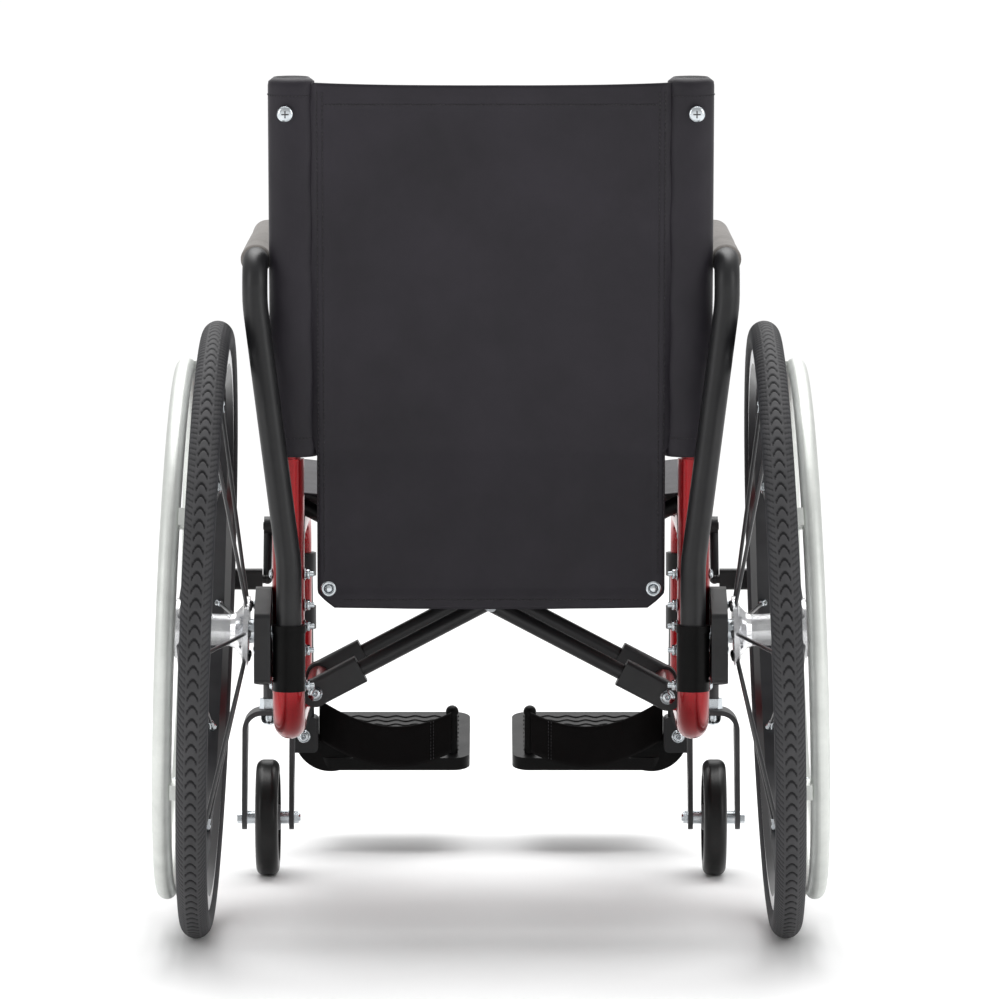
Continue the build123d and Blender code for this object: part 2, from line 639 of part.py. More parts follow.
def footplate(side):
    """Moulded plate, hollow underneath, with a scooped corner that runs up to its hinge."""
    pitch = radians(FOOT_PITCH)
    length = (FOOT_FRONT - FOOT_REAR) / cos(pitch)
    width = FOOT_OUTER_X - FOOT_INNER_X
    middle = (FOOT_OUTER_X + FOOT_INNER_X) / 2
    outline = Pos(side * middle, length / 2) * Rectangle(width, length)
    outline = fillet(outline.vertices(), 18)
    plate = extrude(outline, FOOT_THICK)
    plate -= Pos(side * middle, length / 2, 0) * Box(width - 20, length - 20, 2 * (FOOT_THICK - 6))
    plate = footplate_plane(side) * plate
    lug = rod(at(side, FRAME_X, FOOT_REAR, HINGE_Z), at(side, FRAME_X, FOOT_REAR + 26, HINGE_Z), LUG_RADIUS)
    wing = extrude(Pos(0, AXLE_Y + FOOT_REAR, 0) * footplate_wing(side), WING_DEPTH, dir=(0, 1, 0))
    plate += lug + wing + heel_post(side)
    return plate - hinge_pin(side, HINGE_PIN_RADIUS + RUN)


def footplate_wing(side):
    """Scooped corner that carries the plate up to its hinge, drawn in x and z."""
    def corner(x, z):
        return (side * x, 0, z)

    lug_x, top = FRAME_X + LUG_RADIUS, FOOT_REAR_Z + FOOT_THICK
    outside = ThreePointArc(corner(WING_X + 24, FOOT_REAR_Z), corner(lug_x - 12, 98), corner(lug_x, HINGE_Z))
    over_lug = ThreePointArc(corner(lug_x, HINGE_Z), corner(FRAME_X, HINGE_Z + LUG_RADIUS), corner(189, HINGE_Z + 3))
    inside = ThreePointArc(corner(189, HINGE_Z + 3), corner(170, 112), corner(WING_X, top))
    end = Line(corner(WING_X, top), corner(WING_X, FOOT_REAR_Z))
    under = Line(corner(WING_X, FOOT_REAR_Z), corner(WING_X + 24, FOOT_REAR_Z))
    return make_face([outside, over_lug, inside, end, under])


def heel_post(side):
    """Post moulded on the footplate's inner rear corner, with a round knob that keeps the loop on."""
    post = rod(at(side, POST_X, POST_Y, FOOT_REAR_Z + 8), at(side, POST_X, POST_Y, KNOB_Z), 6.0)
    return post + Pos(*at(side, POST_X, POST_Y, KNOB_Z)) * Sphere(7.0)


def heel_loop(side):
    """Webbing band that sags from the hanger's clamp to the footplate's post."""
    outer = at(side, FRAME_X - 17, FOOT_REAR - 9, 0)
    middle = at(side, 112, FOOT_REAR - 14, 0)
    inner = at(side, POST_X + 2, FOOT_REAR - 5, 0)
    band = offset(ThreePointArc(outer, middle, inner), amount=1.2, side=Side.BOTH)
    return Pos(0, 0, LOOP_LOW) * extrude(make_face(band), LOOP_HEIGHT, dir=(0, 0, 1))


# ---- Wheel lock ----------------------------------------------------------------------------------------------
def lock_clamp(side):
    """Bracket on the top rail with the pivot pins of the lever and the shoe arm."""
    plate = block(side, (FRAME_X + 4, 221), (353, 396), (371, 401))
    plate += block(side, (216.5, 221), (330, 396), (362, 401))
    front = frame_tubes(side, MAIN_RADIUS, SLIM_RADIUS + RUN)[1]
    clamp = plate
    clamp += rod(at(side, 216, *SHOE_PIVOT), at(side, 237, *SHOE_PIVOT), LOCK_PIN_RADIUS)
    clamp += rod(at(side, 216, *LEVER_PIVOT), at(side, 230, *LEVER_PIVOT), LOCK_PIN_RADIUS)
    return clamp - front


def lock_lever(side):
    """Hand lever: a flat bar on its pivot, bent out to a round grip."""
    y, z = LEVER_PIVOT
    hub_part = rod(at(side, 221.5, y, z), at(side, 227.5, y, z), 11.0)
    bar = tube(
        [at(side, 224.5, y, z), at(side, 224.5, y + 12, z + 40), at(side, 236, y + 34, z + 92)], 30, 3.0
    )
    grip = rod(at(side, 231.5, y + 25.5, z + 72), at(side, 238, y + 38, z + 101), 8.0)
    grip = fillet(grip.edges(), 3)
    return hub_part + bar + grip - rod(at(side, 215, y, z), at(side, 235, y, z), LOCK_PIN_RADIUS + RUN)


def lock_shoe(side):
    """Shoe arm and the bar that presses on the tyre."""
    y, z = SHOE_PIVOT
    elbow = at(side, SHOE_ARM_X, SHOE_FRONT_Y - 5, SHOE_Z)
    arm = rod(at(side, SHOE_ARM_X, y, z), elbow, SHOE_ARM_RADIUS) + Pos(*elbow) * Sphere(SHOE_ARM_RADIUS + 0.7)
    arm += rod(elbow, at(side, SHOE_ARM_X + 18, SHOE_FRONT_Y - 5, SHOE_Z), SHOE_ARM_RADIUS)
    boss = rod(at(side, SHOE_ARM_X - 4, y, z), at(side, SHOE_ARM_X + 4, y, z), 10.0)
    bar = block(side, (237, 292), (SHOE_FRONT_Y - 10, SHOE_FRONT_Y), (SHOE_Z - 11, SHOE_Z + 11))
    bar = fillet(bar.edges().filter_by(Axis.X), 4)
    return arm + boss + bar - rod(at(side, 215, y, z), at(side, 240, y, z), LOCK_PIN_RADIUS + RUN)


# ---- Soft parts ------------------------------------------------------------------------------------------------
def back_upholstery():
    """Sling back: a panel between two sleeves that the canes slide into."""
    rise = SLEEVE_LOW, PANEL_TOP
    panel = side_strip(SEAM_X + 8, [(cane_y(rise[0]) - 9, rise[0]), (cane_y(rise[1]) - 9, rise[1])], 5.0)
    panel += side_strip(SEAM_X, [(46, PANEL_LOW), (cane_y(rise[0]) - 9, rise[0])], 5.0)
    length = (BACK_TOP - SLEEVE_LOW) / cos(radians(RECLINE))
    for side in (-1, 1):
        foot = Plane(
            origin=at(side, (SEAM_X + SLEEVE_OUT_X) / 2, cane_y(SLEEVE_LOW), SLEEVE_LOW),
            x_dir=(1, 0, 0), z_dir=(0, -sin(radians(RECLINE)), cos(radians(RECLINE))),
        )
        sleeve = extrude(foot * Ellipse((SLEEVE_OUT_X - SEAM_X) / 2, 15.0), length)
        panel += sleeve
    for side in (-1, 1):
        cane = Plane(
            origin=at(side, FRAME_X, cane_y(SLEEVE_LOW), SLEEVE_LOW),
            x_dir=(1, 0, 0), z_dir=(0, -sin(radians(RECLINE)), cos(radians(RECLINE))),
        )
        panel -= extrude(cane * Circle(SLIM_RADIUS + 0.3), 2 * length, both=True)
        panel -= screw_shank(side, SCREW_RADIUS + 0.5)
    return panel


def side_strip(half_width, line, thickness):
    """A flat strip across the chair that follows a (y, z) line."""
    (y0, z0), (y1, z1) = line
    run = hypot(y1 - y0, z1 - z0)
    lean = degrees(atan2(y1 - y0, z1 - z0))
    middle = at(1, 0, (y0 + y1) / 2, (z0 + z1) / 2)
    return Pos(*middle) * Rot(-lean, 0, 0) * Box(2 * half_width, thickness, run + 2)


def seat_sling():
    """Seat fabric on the two seat rails, sagging a little between them."""
    top = SEAT_RAIL_Z + SEAT_RAIL_RADIUS + 0.3
    across = ThreePointArc((-SEAT_RAIL_X, top + 1.5), (0, top - 12), (SEAT_RAIL_X, top + 1.5))
    band = make_face(offset(across, amount=1.5, side=Side.BOTH))
    face = Plane(origin=at(1, 0, SEAT_RAIL_FRONT - 4, 0), x_dir=(1, 0, 0), z_dir=(0, -1, 0)) * band
    return extrude(face, SEAT_RAIL_FRONT - SEAT_RAIL_REAR - 8)


# ---- Write every piece ------------------------------------------------------------------------------------------
PAIRS = {
    "side_frame": side_frame,
    "back_cane": back_cane,
    "axle_plate": axle_plate,
    "frame_bolts": frame_bolts,
    "arm_receiver": arm_receiver,
    "rear_axle": rear_axle,
    "release_button": release_button,
    "hub": hub,
    "spokes": spokes,
    "rim": rim,
    "tyre": tyre,
    "handrim": handrim,
    "arm_tube": arm_tube,
    "arm_pad": arm_pad,
    "caster_housing": caster_housing,
    "caster_fork": caster_fork,
    "caster_bolts": caster_bolts,
    "caster_wheel": caster_wheel,
    "caster_tyre": caster_tyre,
    "seat_saddles": seat_saddles,
    "hanger": hanger,
    "footplate_hinge_bolt": hinge_bolt,
    "footplate": footplate,
    "heel_loop": heel_loop,
    "lock_clamp": lock_clamp,
    "lock_lever": lock_lever,
    "lock_shoe": lock_shoe,
}


def main():
    os.makedirs("parts", exist_ok=True)
    pieces = {}
    for name, make in PAIRS.items():
        pieces[name + "_left"] = make(-1)
        pieces[name + "_right"] = make(1)
    pieces["cross_brace_left"] = cross_brace(-1, BRACE_LEFT_Y)
    pieces["cross_brace_right"] = cross_brace(1, BRACE_RIGHT_Y)
    pieces["brace_bolts_left"] = Compound(children=[lower_pivot_bolt(-1, BRACE_LEFT_Y), *centre_bolts()])
    pieces["brace_bolt_right"] = lower_pivot_bolt(1, BRACE_RIGHT_Y)
    pieces["back_upholstery"] = back_upholstery()
    pieces["seat_sling"] = seat_sling()
    for name, shape in pieces.items():
        export_step(shape, f"parts/{name}.step")


main()
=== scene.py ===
"""Manual folding wheelchair: materials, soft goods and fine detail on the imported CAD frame.

Metres, in the CAD frame: +Y is forward, +X is the chair's right, +Z is up. Pieces in pairs are built
once for each side: side is -1 on the left and +1 on the right.
"""

import json
from math import cos, pi, radians, sin, tan

import bmesh
import bpy
import numpy as np
from mathutils import Matrix, Vector


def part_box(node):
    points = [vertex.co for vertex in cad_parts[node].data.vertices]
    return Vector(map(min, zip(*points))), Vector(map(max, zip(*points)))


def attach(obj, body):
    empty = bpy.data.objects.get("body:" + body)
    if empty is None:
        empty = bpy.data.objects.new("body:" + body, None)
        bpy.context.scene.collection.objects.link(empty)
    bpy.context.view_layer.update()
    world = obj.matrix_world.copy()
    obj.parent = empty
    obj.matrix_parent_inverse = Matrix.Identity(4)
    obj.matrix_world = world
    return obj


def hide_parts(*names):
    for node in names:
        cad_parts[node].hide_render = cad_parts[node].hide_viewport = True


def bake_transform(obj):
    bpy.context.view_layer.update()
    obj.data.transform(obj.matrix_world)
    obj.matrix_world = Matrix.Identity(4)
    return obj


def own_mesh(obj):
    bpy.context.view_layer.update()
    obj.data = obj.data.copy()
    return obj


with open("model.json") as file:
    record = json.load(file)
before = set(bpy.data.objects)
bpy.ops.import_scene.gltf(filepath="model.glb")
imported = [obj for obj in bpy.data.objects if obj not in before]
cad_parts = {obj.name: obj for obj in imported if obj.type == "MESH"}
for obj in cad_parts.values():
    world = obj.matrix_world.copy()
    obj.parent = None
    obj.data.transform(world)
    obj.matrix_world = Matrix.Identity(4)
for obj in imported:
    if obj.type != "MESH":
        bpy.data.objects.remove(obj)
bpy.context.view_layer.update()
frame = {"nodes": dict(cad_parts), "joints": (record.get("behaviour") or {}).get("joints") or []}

SIDES = ((-1, "left"), (1, "right"))
MM = 0.001
JOINTS = {joint["name"]: joint for joint in frame["joints"]}

# ---- Rear wheel, in its own frame: r from the axle, z outwards from the wheel's middle plane ------
WHEEL_RADIUS = 305 * MM
TYRE_HALF_WIDTH = 15 * MM
BEAD_RADIUS = 270 * MM
BEAD_HALF_WIDTH = 8.9 * MM
RIM_FLANGE_RADIUS = 277.8 * MM
RIM_INNER_RADIUS = 251 * MM
SPOKES = 12
# Each pair below is for the inner flange, then the outer flange.
SPOKE_FOOT_R = (28.5 * MM, 24.0 * MM)
SPOKE_FOOT_Z = (-38.5 * MM, 28.0 * MM)
FLANGE_FACE_Z = (-41.0 * MM, 31.0 * MM)
PUSH_RING_TABS = 6
TAB_SCREW_RADIUS = 253.5 * MM
TAB_SCREW_Z = 17.5 * MM
TAB_SCREW_APART = 10.8 * MM

# ---- Tread: angles are radians round the tyre's section, from its crown -----------------------------
TREAD_ARCHES = 150
STEPS_PER_ARCH = 12
GROOVE_DEPTH = 1.2 * MM
ARCH_REACH = 0.40                          # half width of the row of arches
SIPES = (0.50, 1.15)                       # where the shoulder cuts start and end
EDGE_GROOVE = 1.22

# ---- Back ---------------------------------------------------------------------------------------
RECLINE = radians(7.0)
UPRIGHT_Y = 28 * MM                        # the canes' place forward of the axle
CANE_BEND_Z = 480 * MM
SEAM_X = 172 * MM
SLEEVE_OUT_X = 218.5 * MM
SLEEVE_LOW = 476 * MM
SLEEVE_TOP = 850 * MM
SLEEVE_HALF_DEPTH = 15 * MM
SLEEVE_THICKNESS = 1.2 * MM
SCREW_Z = 813.9 * MM
PANEL_TOP = 842 * MM
PANEL_LOW = 324 * MM
PANEL_THICKNESS = 2.4 * MM
CORNER_TOP = 340 * MM                      # the panel's lower corners are cut in below this
CORNER_IN = 17 * MM
EDGE_TUCK = 9 * MM                         # how far the panel's sides go into the sleeves' seam
GROMMET_X = 161 * MM
GROMMET_Z = 343 * MM
THREAD_RADIUS = 0.45 * MM

# ---- Seat and heel loops -------------------------------------------------------------------------
RAIL_X = 200 * MM
RAIL_Z = 423 * MM
RAIL_WRAP_RADIUS = 11.6 * MM               # the seat fabric's inner face round a rail
SEAT_SAG = 12 * MM
SEAT_THICKNESS = 2.0 * MM
BAND_THICKNESS = 2.2 * MM
BAND_CURL = 1.2 * MM
BAND_DOUBLED_FROM = 0.86                   # share of the band's length where it is sewn double
BAND_DOUBLED_BY = 0.9 * MM

# ---- Footplate ribs ------------------------------------------------------------------------------
PLATE_PITCH = radians(12.0)
PLATE_THICKNESS = 14 * MM
PLATE_SPAN_X = (36 * MM, 166 * MM)
RIBS = 9

# ---- Fasteners: places along the chair are forward of the axle -----------------------------------
TUBE_RADIUS = 16 * MM
UPRIGHT_BOLTS = (246 * MM, 281 * MM, 305 * MM, 326 * MM, 357 * MM)
PLATE_BOLTS = UPRIGHT_BOLTS[1:4]
BRACE_PIVOT_Y = {"left": (131.5 * MM, 302.5 * MM), "right": (101.5 * MM, 272.5 * MM)}
CENTRE_BOLTS = ((98 * MM, 156 * MM), (248 * MM, 306 * MM))
CENTRE_NUT_HEIGHT = 5.6 * MM
CENTRE_SPACER_FROM = 22.4 * MM

# ---- Camera, measured against the chair ----------------------------------------------------------
CAMERA_DISTANCE = 6.3                      # behind the rear axle
CAMERA_HEIGHT = 0.998
CAMERA_TILT = 5.12
CAMERA_LENS = 231.1
CAMERA_SHIFT = 0.0085

AXLE_Y = JOINTS["wheel_spin_left"]["pos_m"][1]


def middle(node):
    low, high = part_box(node)
    return (low + high) / 2


# ---- Shader helpers ------------------------------------------------------------------------------
def add(tree, kind, settings=None, **inputs):
    """A shader node with its settings and its inputs, each a value or another node's socket."""
    node = tree.nodes.new("ShaderNode" + kind)
    for name, value in (settings or {}).items():
        setattr(node, name, value)
    for name, value in inputs.items():
        put(tree, node.inputs[name.replace("_", " ")], value)
    return node


def put(tree, socket, value):
    if isinstance(value, bpy.types.NodeSocket):
        tree.links.new(value, socket)
    else:
        socket.default_value = value


def shade(tree, name, value):
    """Sets one input of the material's Principled shader."""
    put(tree, tree.nodes["Principled BSDF"].inputs[name], value)


def maths(tree, operation, first, second=0.0):
    node = tree.nodes.new("ShaderNodeMath")
    node.operation = operation
    put(tree, node.inputs[0], first)
    put(tree, node.inputs[1], second)
    return node.outputs[0]


def ramp(tree, factor, *stops):
    """Colour ramp from (position, colour) stops; a colour may be one grey number."""
    node = tree.nodes.new("ShaderNodeValToRGB")
    elements = node.color_ramp.elements
    while len(elements) < len(stops):
        elements.new(0.5)
    for element, (position, colour) in zip(elements, stops):
        element.position = position
        element.color = (*colour, 1) if isinstance(colour, tuple) else (colour, colour, colour, 1)
    tree.links.new(factor, node.inputs["Fac"])
    return node.outputs["Color"]


def remap(tree, value, low, high):
    node = add(tree, "MapRange", Value=value, To_Min=low, To_Max=high)
    return node.outputs["Result"]


def place(tree):
    """The piece's own coordinates in metres."""
    return tree.nodes.new("ShaderNodeTexCoord").outputs["Object"]


def noise(tree, where, scale, detail=3.0, roughness=0.5):
    node = add(tree, "TexNoise", Vector=where, Scale=scale, Detail=detail, Roughness=roughness)
    return node.outputs["Fac"]


def bump(tree, height, strength, distance, under=None):
    node = add(tree, "Bump", Height=height, Strength=strength, Distance=distance)
    if under is not None:
        tree.links.new(under, node.inputs["Normal"])
    return node.outputs["Normal"]


def surface(name, **inputs):
    """A material with one Principled shader, and its node tree."""
    made = bpy.data.materials.new(name)
    made.use_nodes = True
    tree = made.node_tree
    for key, value in inputs.items():
        shade(tree, key.replace("_", " "), value)
    return made, tree


def wheel_place(tree, side_name):
    """Coordinates turned into the rear wheel's own frame: z along the axle."""
    to_wheel = wheel_matrix(side_name).inverted()
    node = add(tree, "Mapping", {"vector_type": "POINT"}, Vector=place(tree))
    node.inputs["Location"].default_value = to_wheel.translation
    node.inputs["Rotation"].default_value = to_wheel.to_euler()
    return node.outputs["Vector"]


def radius_and_depth(tree, where):
    """Distance from the axle, and place along it."""
    parts = add(tree, "SeparateXYZ", Vector=where)
    x, y = parts.outputs["X"], parts.outputs["Y"]
    square = maths(tree, "ADD", maths(tree, "MULTIPLY", x, x), maths(tree, "MULTIPLY", y, y))
    return maths(tree, "SQRT", square), parts.outputs["Z"]


def above(tree, value, edge, softness):
    """1 where value is above edge, 0 where it is below, with a soft step."""
    node = add(
        tree, "MapRange", {"interpolation_type": "SMOOTHSTEP"}, Value=value,
        From_Min=edge - softness, From_Max=edge + softness,
    )
    return node.outputs["Result"]


# ---- Materials -----------------------------------------------------------------------------------
def candy_red():
    """Translucent red over aluminium flakes, under clear coat."""
    made, tree = surface(
        "candy_red", Metallic=0.85, Coat_Weight=0.55, Coat_Roughness=0.03, Coat_IOR=1.5
    )
    where = place(tree)
    flakes = noise(tree, where, 2600.0, 1.0)
    depth = noise(tree, where, 22.0, 2.0)
    colour = ramp(tree, flakes, (0.35, (0.17, 0.001, 0.003)), (0.62, (0.42, 0.002, 0.007)))
    tint = add(tree, "MixRGB", {"blend_type": "MULTIPLY"}, Fac=0.35, Color1=colour)
    put(tree, tint.inputs["Color2"], ramp(tree, depth, (0.3, 0.55), (0.7, 1.0)))
    shade(tree, "Base Color", tint.outputs["Color"])
    shade(tree, "Roughness", remap(tree, flakes, 0.22, 0.42))
    shade(tree, "Coat Normal", bump(tree, noise(tree, where, 140.0, 2.0), 0.04, 0.0006))
    return made


def powder_coat(name, dark, light, roughness, grain=900.0, wear=0.12):
    """Satin powder coat: fine orange peel, faint cloudy colour and a few polished rubs."""
    made, tree = surface(name, Specular_IOR_Level=0.42)
    where = place(tree)
    cloud = noise(tree, where, 35.0, 4.0, 0.6)
    peel = noise(tree, where, grain, 2.0)
    rubs = above(tree, noise(tree, where, 60.0, 6.0, 0.75), 0.66, 0.05)
    shade(tree, "Base Color", ramp(tree, cloud, (0.3, dark), (0.75, light)))
    rough = remap(tree, cloud, roughness + 0.06, roughness - 0.05)
    polished = maths(tree, "MULTIPLY", rubs, wear)
    shade(tree, "Roughness", maths(tree, "SUBTRACT", rough, polished))
    shade(tree, "Normal", bump(tree, peel, 0.10, 0.0004))
    return made


def zinc_plate():
    """Bright zinc on fasteners, faintly blue and uneven."""
    made, tree = surface("zinc_plate", Metallic=1.0)
    where = place(tree)
    patches = noise(tree, where, 180.0, 4.0, 0.6)
    shade(tree, "Base Color", ramp(
        tree, patches, (0.3, (0.52, 0.56, 0.59)), (0.55, (0.60, 0.64, 0.67)), (0.8, (0.68, 0.69, 0.69))
    ))
    shade(tree, "Roughness", remap(tree, noise(tree, where, 160.0, 2.0), 0.18, 0.28))
    shade(tree, "Normal", bump(tree, noise(tree, where, 900.0, 2.0), 0.08, 0.0003))
    return made


def turned_alloy(side_name):
    """Polished aluminium with the fine rings of the lathe round the axle."""
    made, tree = surface(f"turned_alloy_{side_name}", Metallic=1.0)
    where = wheel_place(tree, side_name)
    radius, depth = radius_and_depth(tree, where)
    rings = maths(tree, "SINE", maths(tree, "MULTIPLY", maths(tree, "ADD", radius, depth), 2 * pi / 0.0011))
    stains = noise(tree, where, 60.0, 5.0, 0.6)
    alloy = ramp(tree, stains, (0.3, (0.62, 0.63, 0.65)), (0.7, (0.86, 0.86, 0.87)))
    shade(tree, "Base Color", alloy)
    shade(tree, "Roughness", remap(tree, stains, 0.24, 0.13))
    shade(tree, "Normal", bump(tree, rings, 0.12, 0.00012))
    return made


def satin_alloy():
    """Push ring: matt silver anodising with handling marks."""
    made, tree = surface("satin_alloy", Metallic=0.7)
    where = place(tree)
    blasted = noise(tree, where, 1500.0, 2.0)
    marks = noise(tree, where, 28.0, 6.0, 0.7)
    silver = ramp(tree, marks, (0.25, (0.60, 0.62, 0.595)), (0.7, (0.72, 0.74, 0.71)))
    shade(tree, "Base Color", silver)
    shade(tree, "Roughness", remap(tree, marks, 0.56, 0.46))
    shade(tree, "Normal", bump(tree, blasted, 0.08, 0.0002))
    return made


def rim_finish(side_name):
    """Black anodised rim whose side walls are machined bright."""
    made, tree = surface(f"rim_finish_{side_name}")
    where = wheel_place(tree, side_name)
    radius, depth = radius_and_depth(tree, where)
    outer = above(tree, radius, 0.2632, 0.0004)
    side_face = above(tree, maths(tree, "ABSOLUTE", depth), 0.0102, 0.0003)
    wall = maths(tree, "MULTIPLY", outer, side_face)
    lathe = maths(tree, "SINE", maths(tree, "MULTIPLY", radius, 2 * pi / 0.0008))
    haze = noise(tree, where, 40.0, 4.0)
    bright = ramp(tree, haze, (0.3, (0.60, 0.61, 0.62)), (0.7, (0.78, 0.78, 0.79)))
    black = ramp(tree, haze, (0.3, (0.010, 0.010, 0.012)), (0.7, (0.020, 0.020, 0.023)))
    mixed = add(tree, "MixRGB", Fac=wall, Color1=black, Color2=bright)
    shade(tree, "Base Color", mixed.outputs["Color"])
    shade(tree, "Metallic", maths(tree, "MULTIPLY", wall, 0.95))
    shade(tree, "Roughness", remap(tree, haze, 0.26, 0.36))
    shade(tree, "Normal", bump(tree, maths(tree, "MULTIPLY", lathe, wall), 0.15, 0.0001))
    return made


def gloss_black():
    """Painted spokes and spoke heads."""
    made, tree = surface("gloss_black", Coat_Weight=0.5, Coat_Roughness=0.12)
    where = place(tree)
    cloud = noise(tree, where, 70.0, 3.0)
    paint = ramp(tree, cloud, (0.3, (0.008, 0.008, 0.010)), (0.7, (0.018, 0.018, 0.020)))
    shade(tree, "Base Color", paint)
    shade(tree, "Roughness", remap(tree, cloud, 0.26, 0.38))
    shade(tree, "Normal", bump(tree, noise(tree, where, 700.0, 2.0), 0.05, 0.0003))
    return made


def tyre_rubber(side_name):
    """Charcoal rubber, dustier on the tread, with fine moulded ribs on the side walls and painted shade in
    the tread's grooves.
    """
    made, tree = surface(f"tyre_rubber_{side_name}", Specular_IOR_Level=0.3)
    where = wheel_place(tree, side_name)
    radius, depth = radius_and_depth(tree, where)
    crown = above(tree, radius, 0.2985, 0.004)
    cloud = noise(tree, where, 55.0, 6.0, 0.65)
    grit = noise(tree, where, 1400.0, 3.0, 0.6)
    side_wall = ramp(tree, cloud, (0.3, (0.024, 0.024, 0.027)), (0.7, (0.040, 0.041, 0.045)))
    tread = ramp(tree, cloud, (0.25, (0.034, 0.034, 0.036)), (0.75, (0.058, 0.057, 0.060)))
    mixed = add(tree, "MixRGB", Fac=crown, Color1=side_wall, Color2=tread)
    # The tread's cut grooves are coloured near black: painted shade in the grooves.
    cut = add(tree, "Attribute", {"attribute_name": "groove"}).outputs["Fac"]
    groove_shade = add(tree, "MixRGB", Fac=cut, Color1=mixed.outputs["Color"], Color2=(0.004, 0.004, 0.005, 1))
    shade(tree, "Base Color", groove_shade.outputs["Color"])
    shade(tree, "Roughness", remap(tree, cloud, 0.55, 0.74))
    rings = maths(tree, "SINE", maths(tree, "MULTIPLY", radius, 2 * pi / 0.0016))
    moulded = maths(tree, "MULTIPLY", rings, maths(tree, "SUBTRACT", 1.0, crown))
    shade(tree, "Normal", bump(tree, grit, 0.22, 0.0004, bump(tree, moulded, 0.25, 0.0002)))
    return made


def moulded(name, dark, light, roughness, specular=0.4, grain=700.0, strength=0.18):
    """Moulded plastic or rubber with a fine spark-eroded grain."""
    made, tree = surface(name, Specular_IOR_Level=specular)
    where = place(tree)
    cells = add(tree, "TexVoronoi", {"feature": "SMOOTH_F1"}, Vector=where, Scale=grain)
    cloud = noise(tree, where, 40.0, 5.0, 0.6)
    shade(tree, "Base Color", ramp(tree, cloud, (0.3, dark), (0.72, light)))
    shade(tree, "Roughness", remap(tree, cloud, roughness + 0.07, roughness - 0.06))
    shade(tree, "Normal", bump(tree, cells.outputs["Distance"], strength, 0.0005))
    return made


def pad_foam():
    """Taupe-grey foam: open pores darkened with painted shade, slightly polished where hands rest."""
    made, tree = surface(
        "pad_foam", Specular_IOR_Level=0.25, Sheen_Weight=0.25, Sheen_Roughness=0.5
    )
    where = place(tree)
    pores = add(tree, "TexVoronoi", Vector=where, Scale=900.0).outputs["Distance"]
    cloud = noise(tree, where, 30.0, 5.0, 0.65)
    base = ramp(tree, cloud, (0.3, (0.115, 0.105, 0.096)), (0.7, (0.165, 0.150, 0.138)))
    # The pore hollows are darkened: painted shade in the pores.
    pore_shade = add(tree, "MixRGB", {"blend_type": "MULTIPLY"}, Fac=0.5, Color1=base)
    put(tree, pore_shade.inputs["Color2"], ramp(tree, pores, (0.05, 0.45), (0.4, 1.0)))
    shade(tree, "Base Color", pore_shade.outputs["Color"])
    shade(tree, "Roughness", remap(tree, cloud, 0.88, 0.70))
    shade(tree, "Normal", bump(tree, pores, 0.35, 0.0006))
    return made


def woven(name, dark, light, across, along, pitch, roughness, sheen, specular=0.26):
    """Plain weave from two crossed sets of threads, darkened where they dip as painted shade; across and
    along are "X", "Y" or "Z".
    """
    made, tree = surface(
        name, Specular_IOR_Level=specular, Sheen_Weight=sheen, Sheen_Roughness=0.45
    )
    where = place(tree)
    parts = add(tree, "SeparateXYZ", Vector=where)
    turn = 2 * pi / pitch
    warp = maths(tree, "SINE", maths(tree, "MULTIPLY", parts.outputs[across], turn))
    weft = maths(tree, "SINE", maths(tree, "MULTIPLY", parts.outputs[along], turn))
    threads = maths(tree, "MULTIPLY", warp, weft)
    cloud = noise(tree, where, 9.0, 5.0, 0.6)
    slubs = noise(tree, where, 260.0, 3.0)
    base = ramp(tree, cloud, (0.3, dark), (0.7, light))
    # The cloud tone is the cloth's own; the thread darkening multiplied in is painted shade between the
    # threads.
    grain = add(tree, "MixRGB", {"blend_type": "MULTIPLY"}, Fac=0.45, Color1=base)
    put(tree, grain.inputs["Color2"], ramp(tree, remap(tree, threads, 0.0, 1.0), (0.0, 0.62), (0.8, 1.0)))
    shade(tree, "Base Color", grain.outputs["Color"])
    shade(tree, "Roughness", remap(tree, slubs, roughness - 0.06, roughness + 0.08))
    creases = bump(tree, noise(tree, where, 26.0, 4.0, 0.55), 0.10, 0.004)
    shade(tree, "Normal", bump(tree, threads, 0.22, 0.0003, creases))
    return made


def thread_black():
    return moulded("thread_black", (0.020, 0.019, 0.021), (0.045, 0.043, 0.047), 0.6, 0.3, 2500.0, 0.3)


# ---- Mesh helpers ----------------------------------------------------------------------------------
def mesh_piece(name, points, faces, material):
    """A smooth-shaded piece whose faces all point outwards."""
    mesh = bpy.data.meshes.new(name)
    mesh.from_pydata([tuple(point) for point in points], [], faces)
    mesh.update()
    mesh.polygons.foreach_set("use_smooth", [True] * len(mesh.polygons))
    mesh.materials.append(material)
    work = bmesh.new()
    work.from_mesh(mesh)
    bmesh.ops.recalc_face_normals(work, faces=work.faces)
    work.to_mesh(mesh)
    work.free()
    piece = bpy.data.objects.new(name, mesh)
    bpy.context.scene.collection.objects.link(piece)
    return piece


def grid_faces(rows, columns, wrap_rows=False, wrap_columns=False):
    """Quads over a grid of rows x columns points."""
    faces = []
    for i in range(rows if wrap_rows else rows - 1):
        for j in range(columns if wrap_columns else columns - 1):
            k, m = (i + 1) % rows, (j + 1) % columns
            faces.append((i * columns + j, i * columns + m, k * columns + m, k * columns + j))
    return faces


def sheet_faces(rows, columns):
    """Faces of a sheet made from two grids of points, closed all round its border."""
    faces = grid_faces(rows, columns)
    count = rows * columns
    faces += [tuple(count + corner for corner in reversed(face)) for face in faces]
    border = list(range(columns)) + [i * columns + columns - 1 for i in range(1, rows)]
    border += [(rows - 1) * columns + j for j in range(columns - 2, -1, -1)]
    border += [i * columns for i in range(rows - 2, 0, -1)]
    for a, b in zip(border, border[1:] + border[:1]):
        faces.append((b, a, count + a, count + b))
    return faces


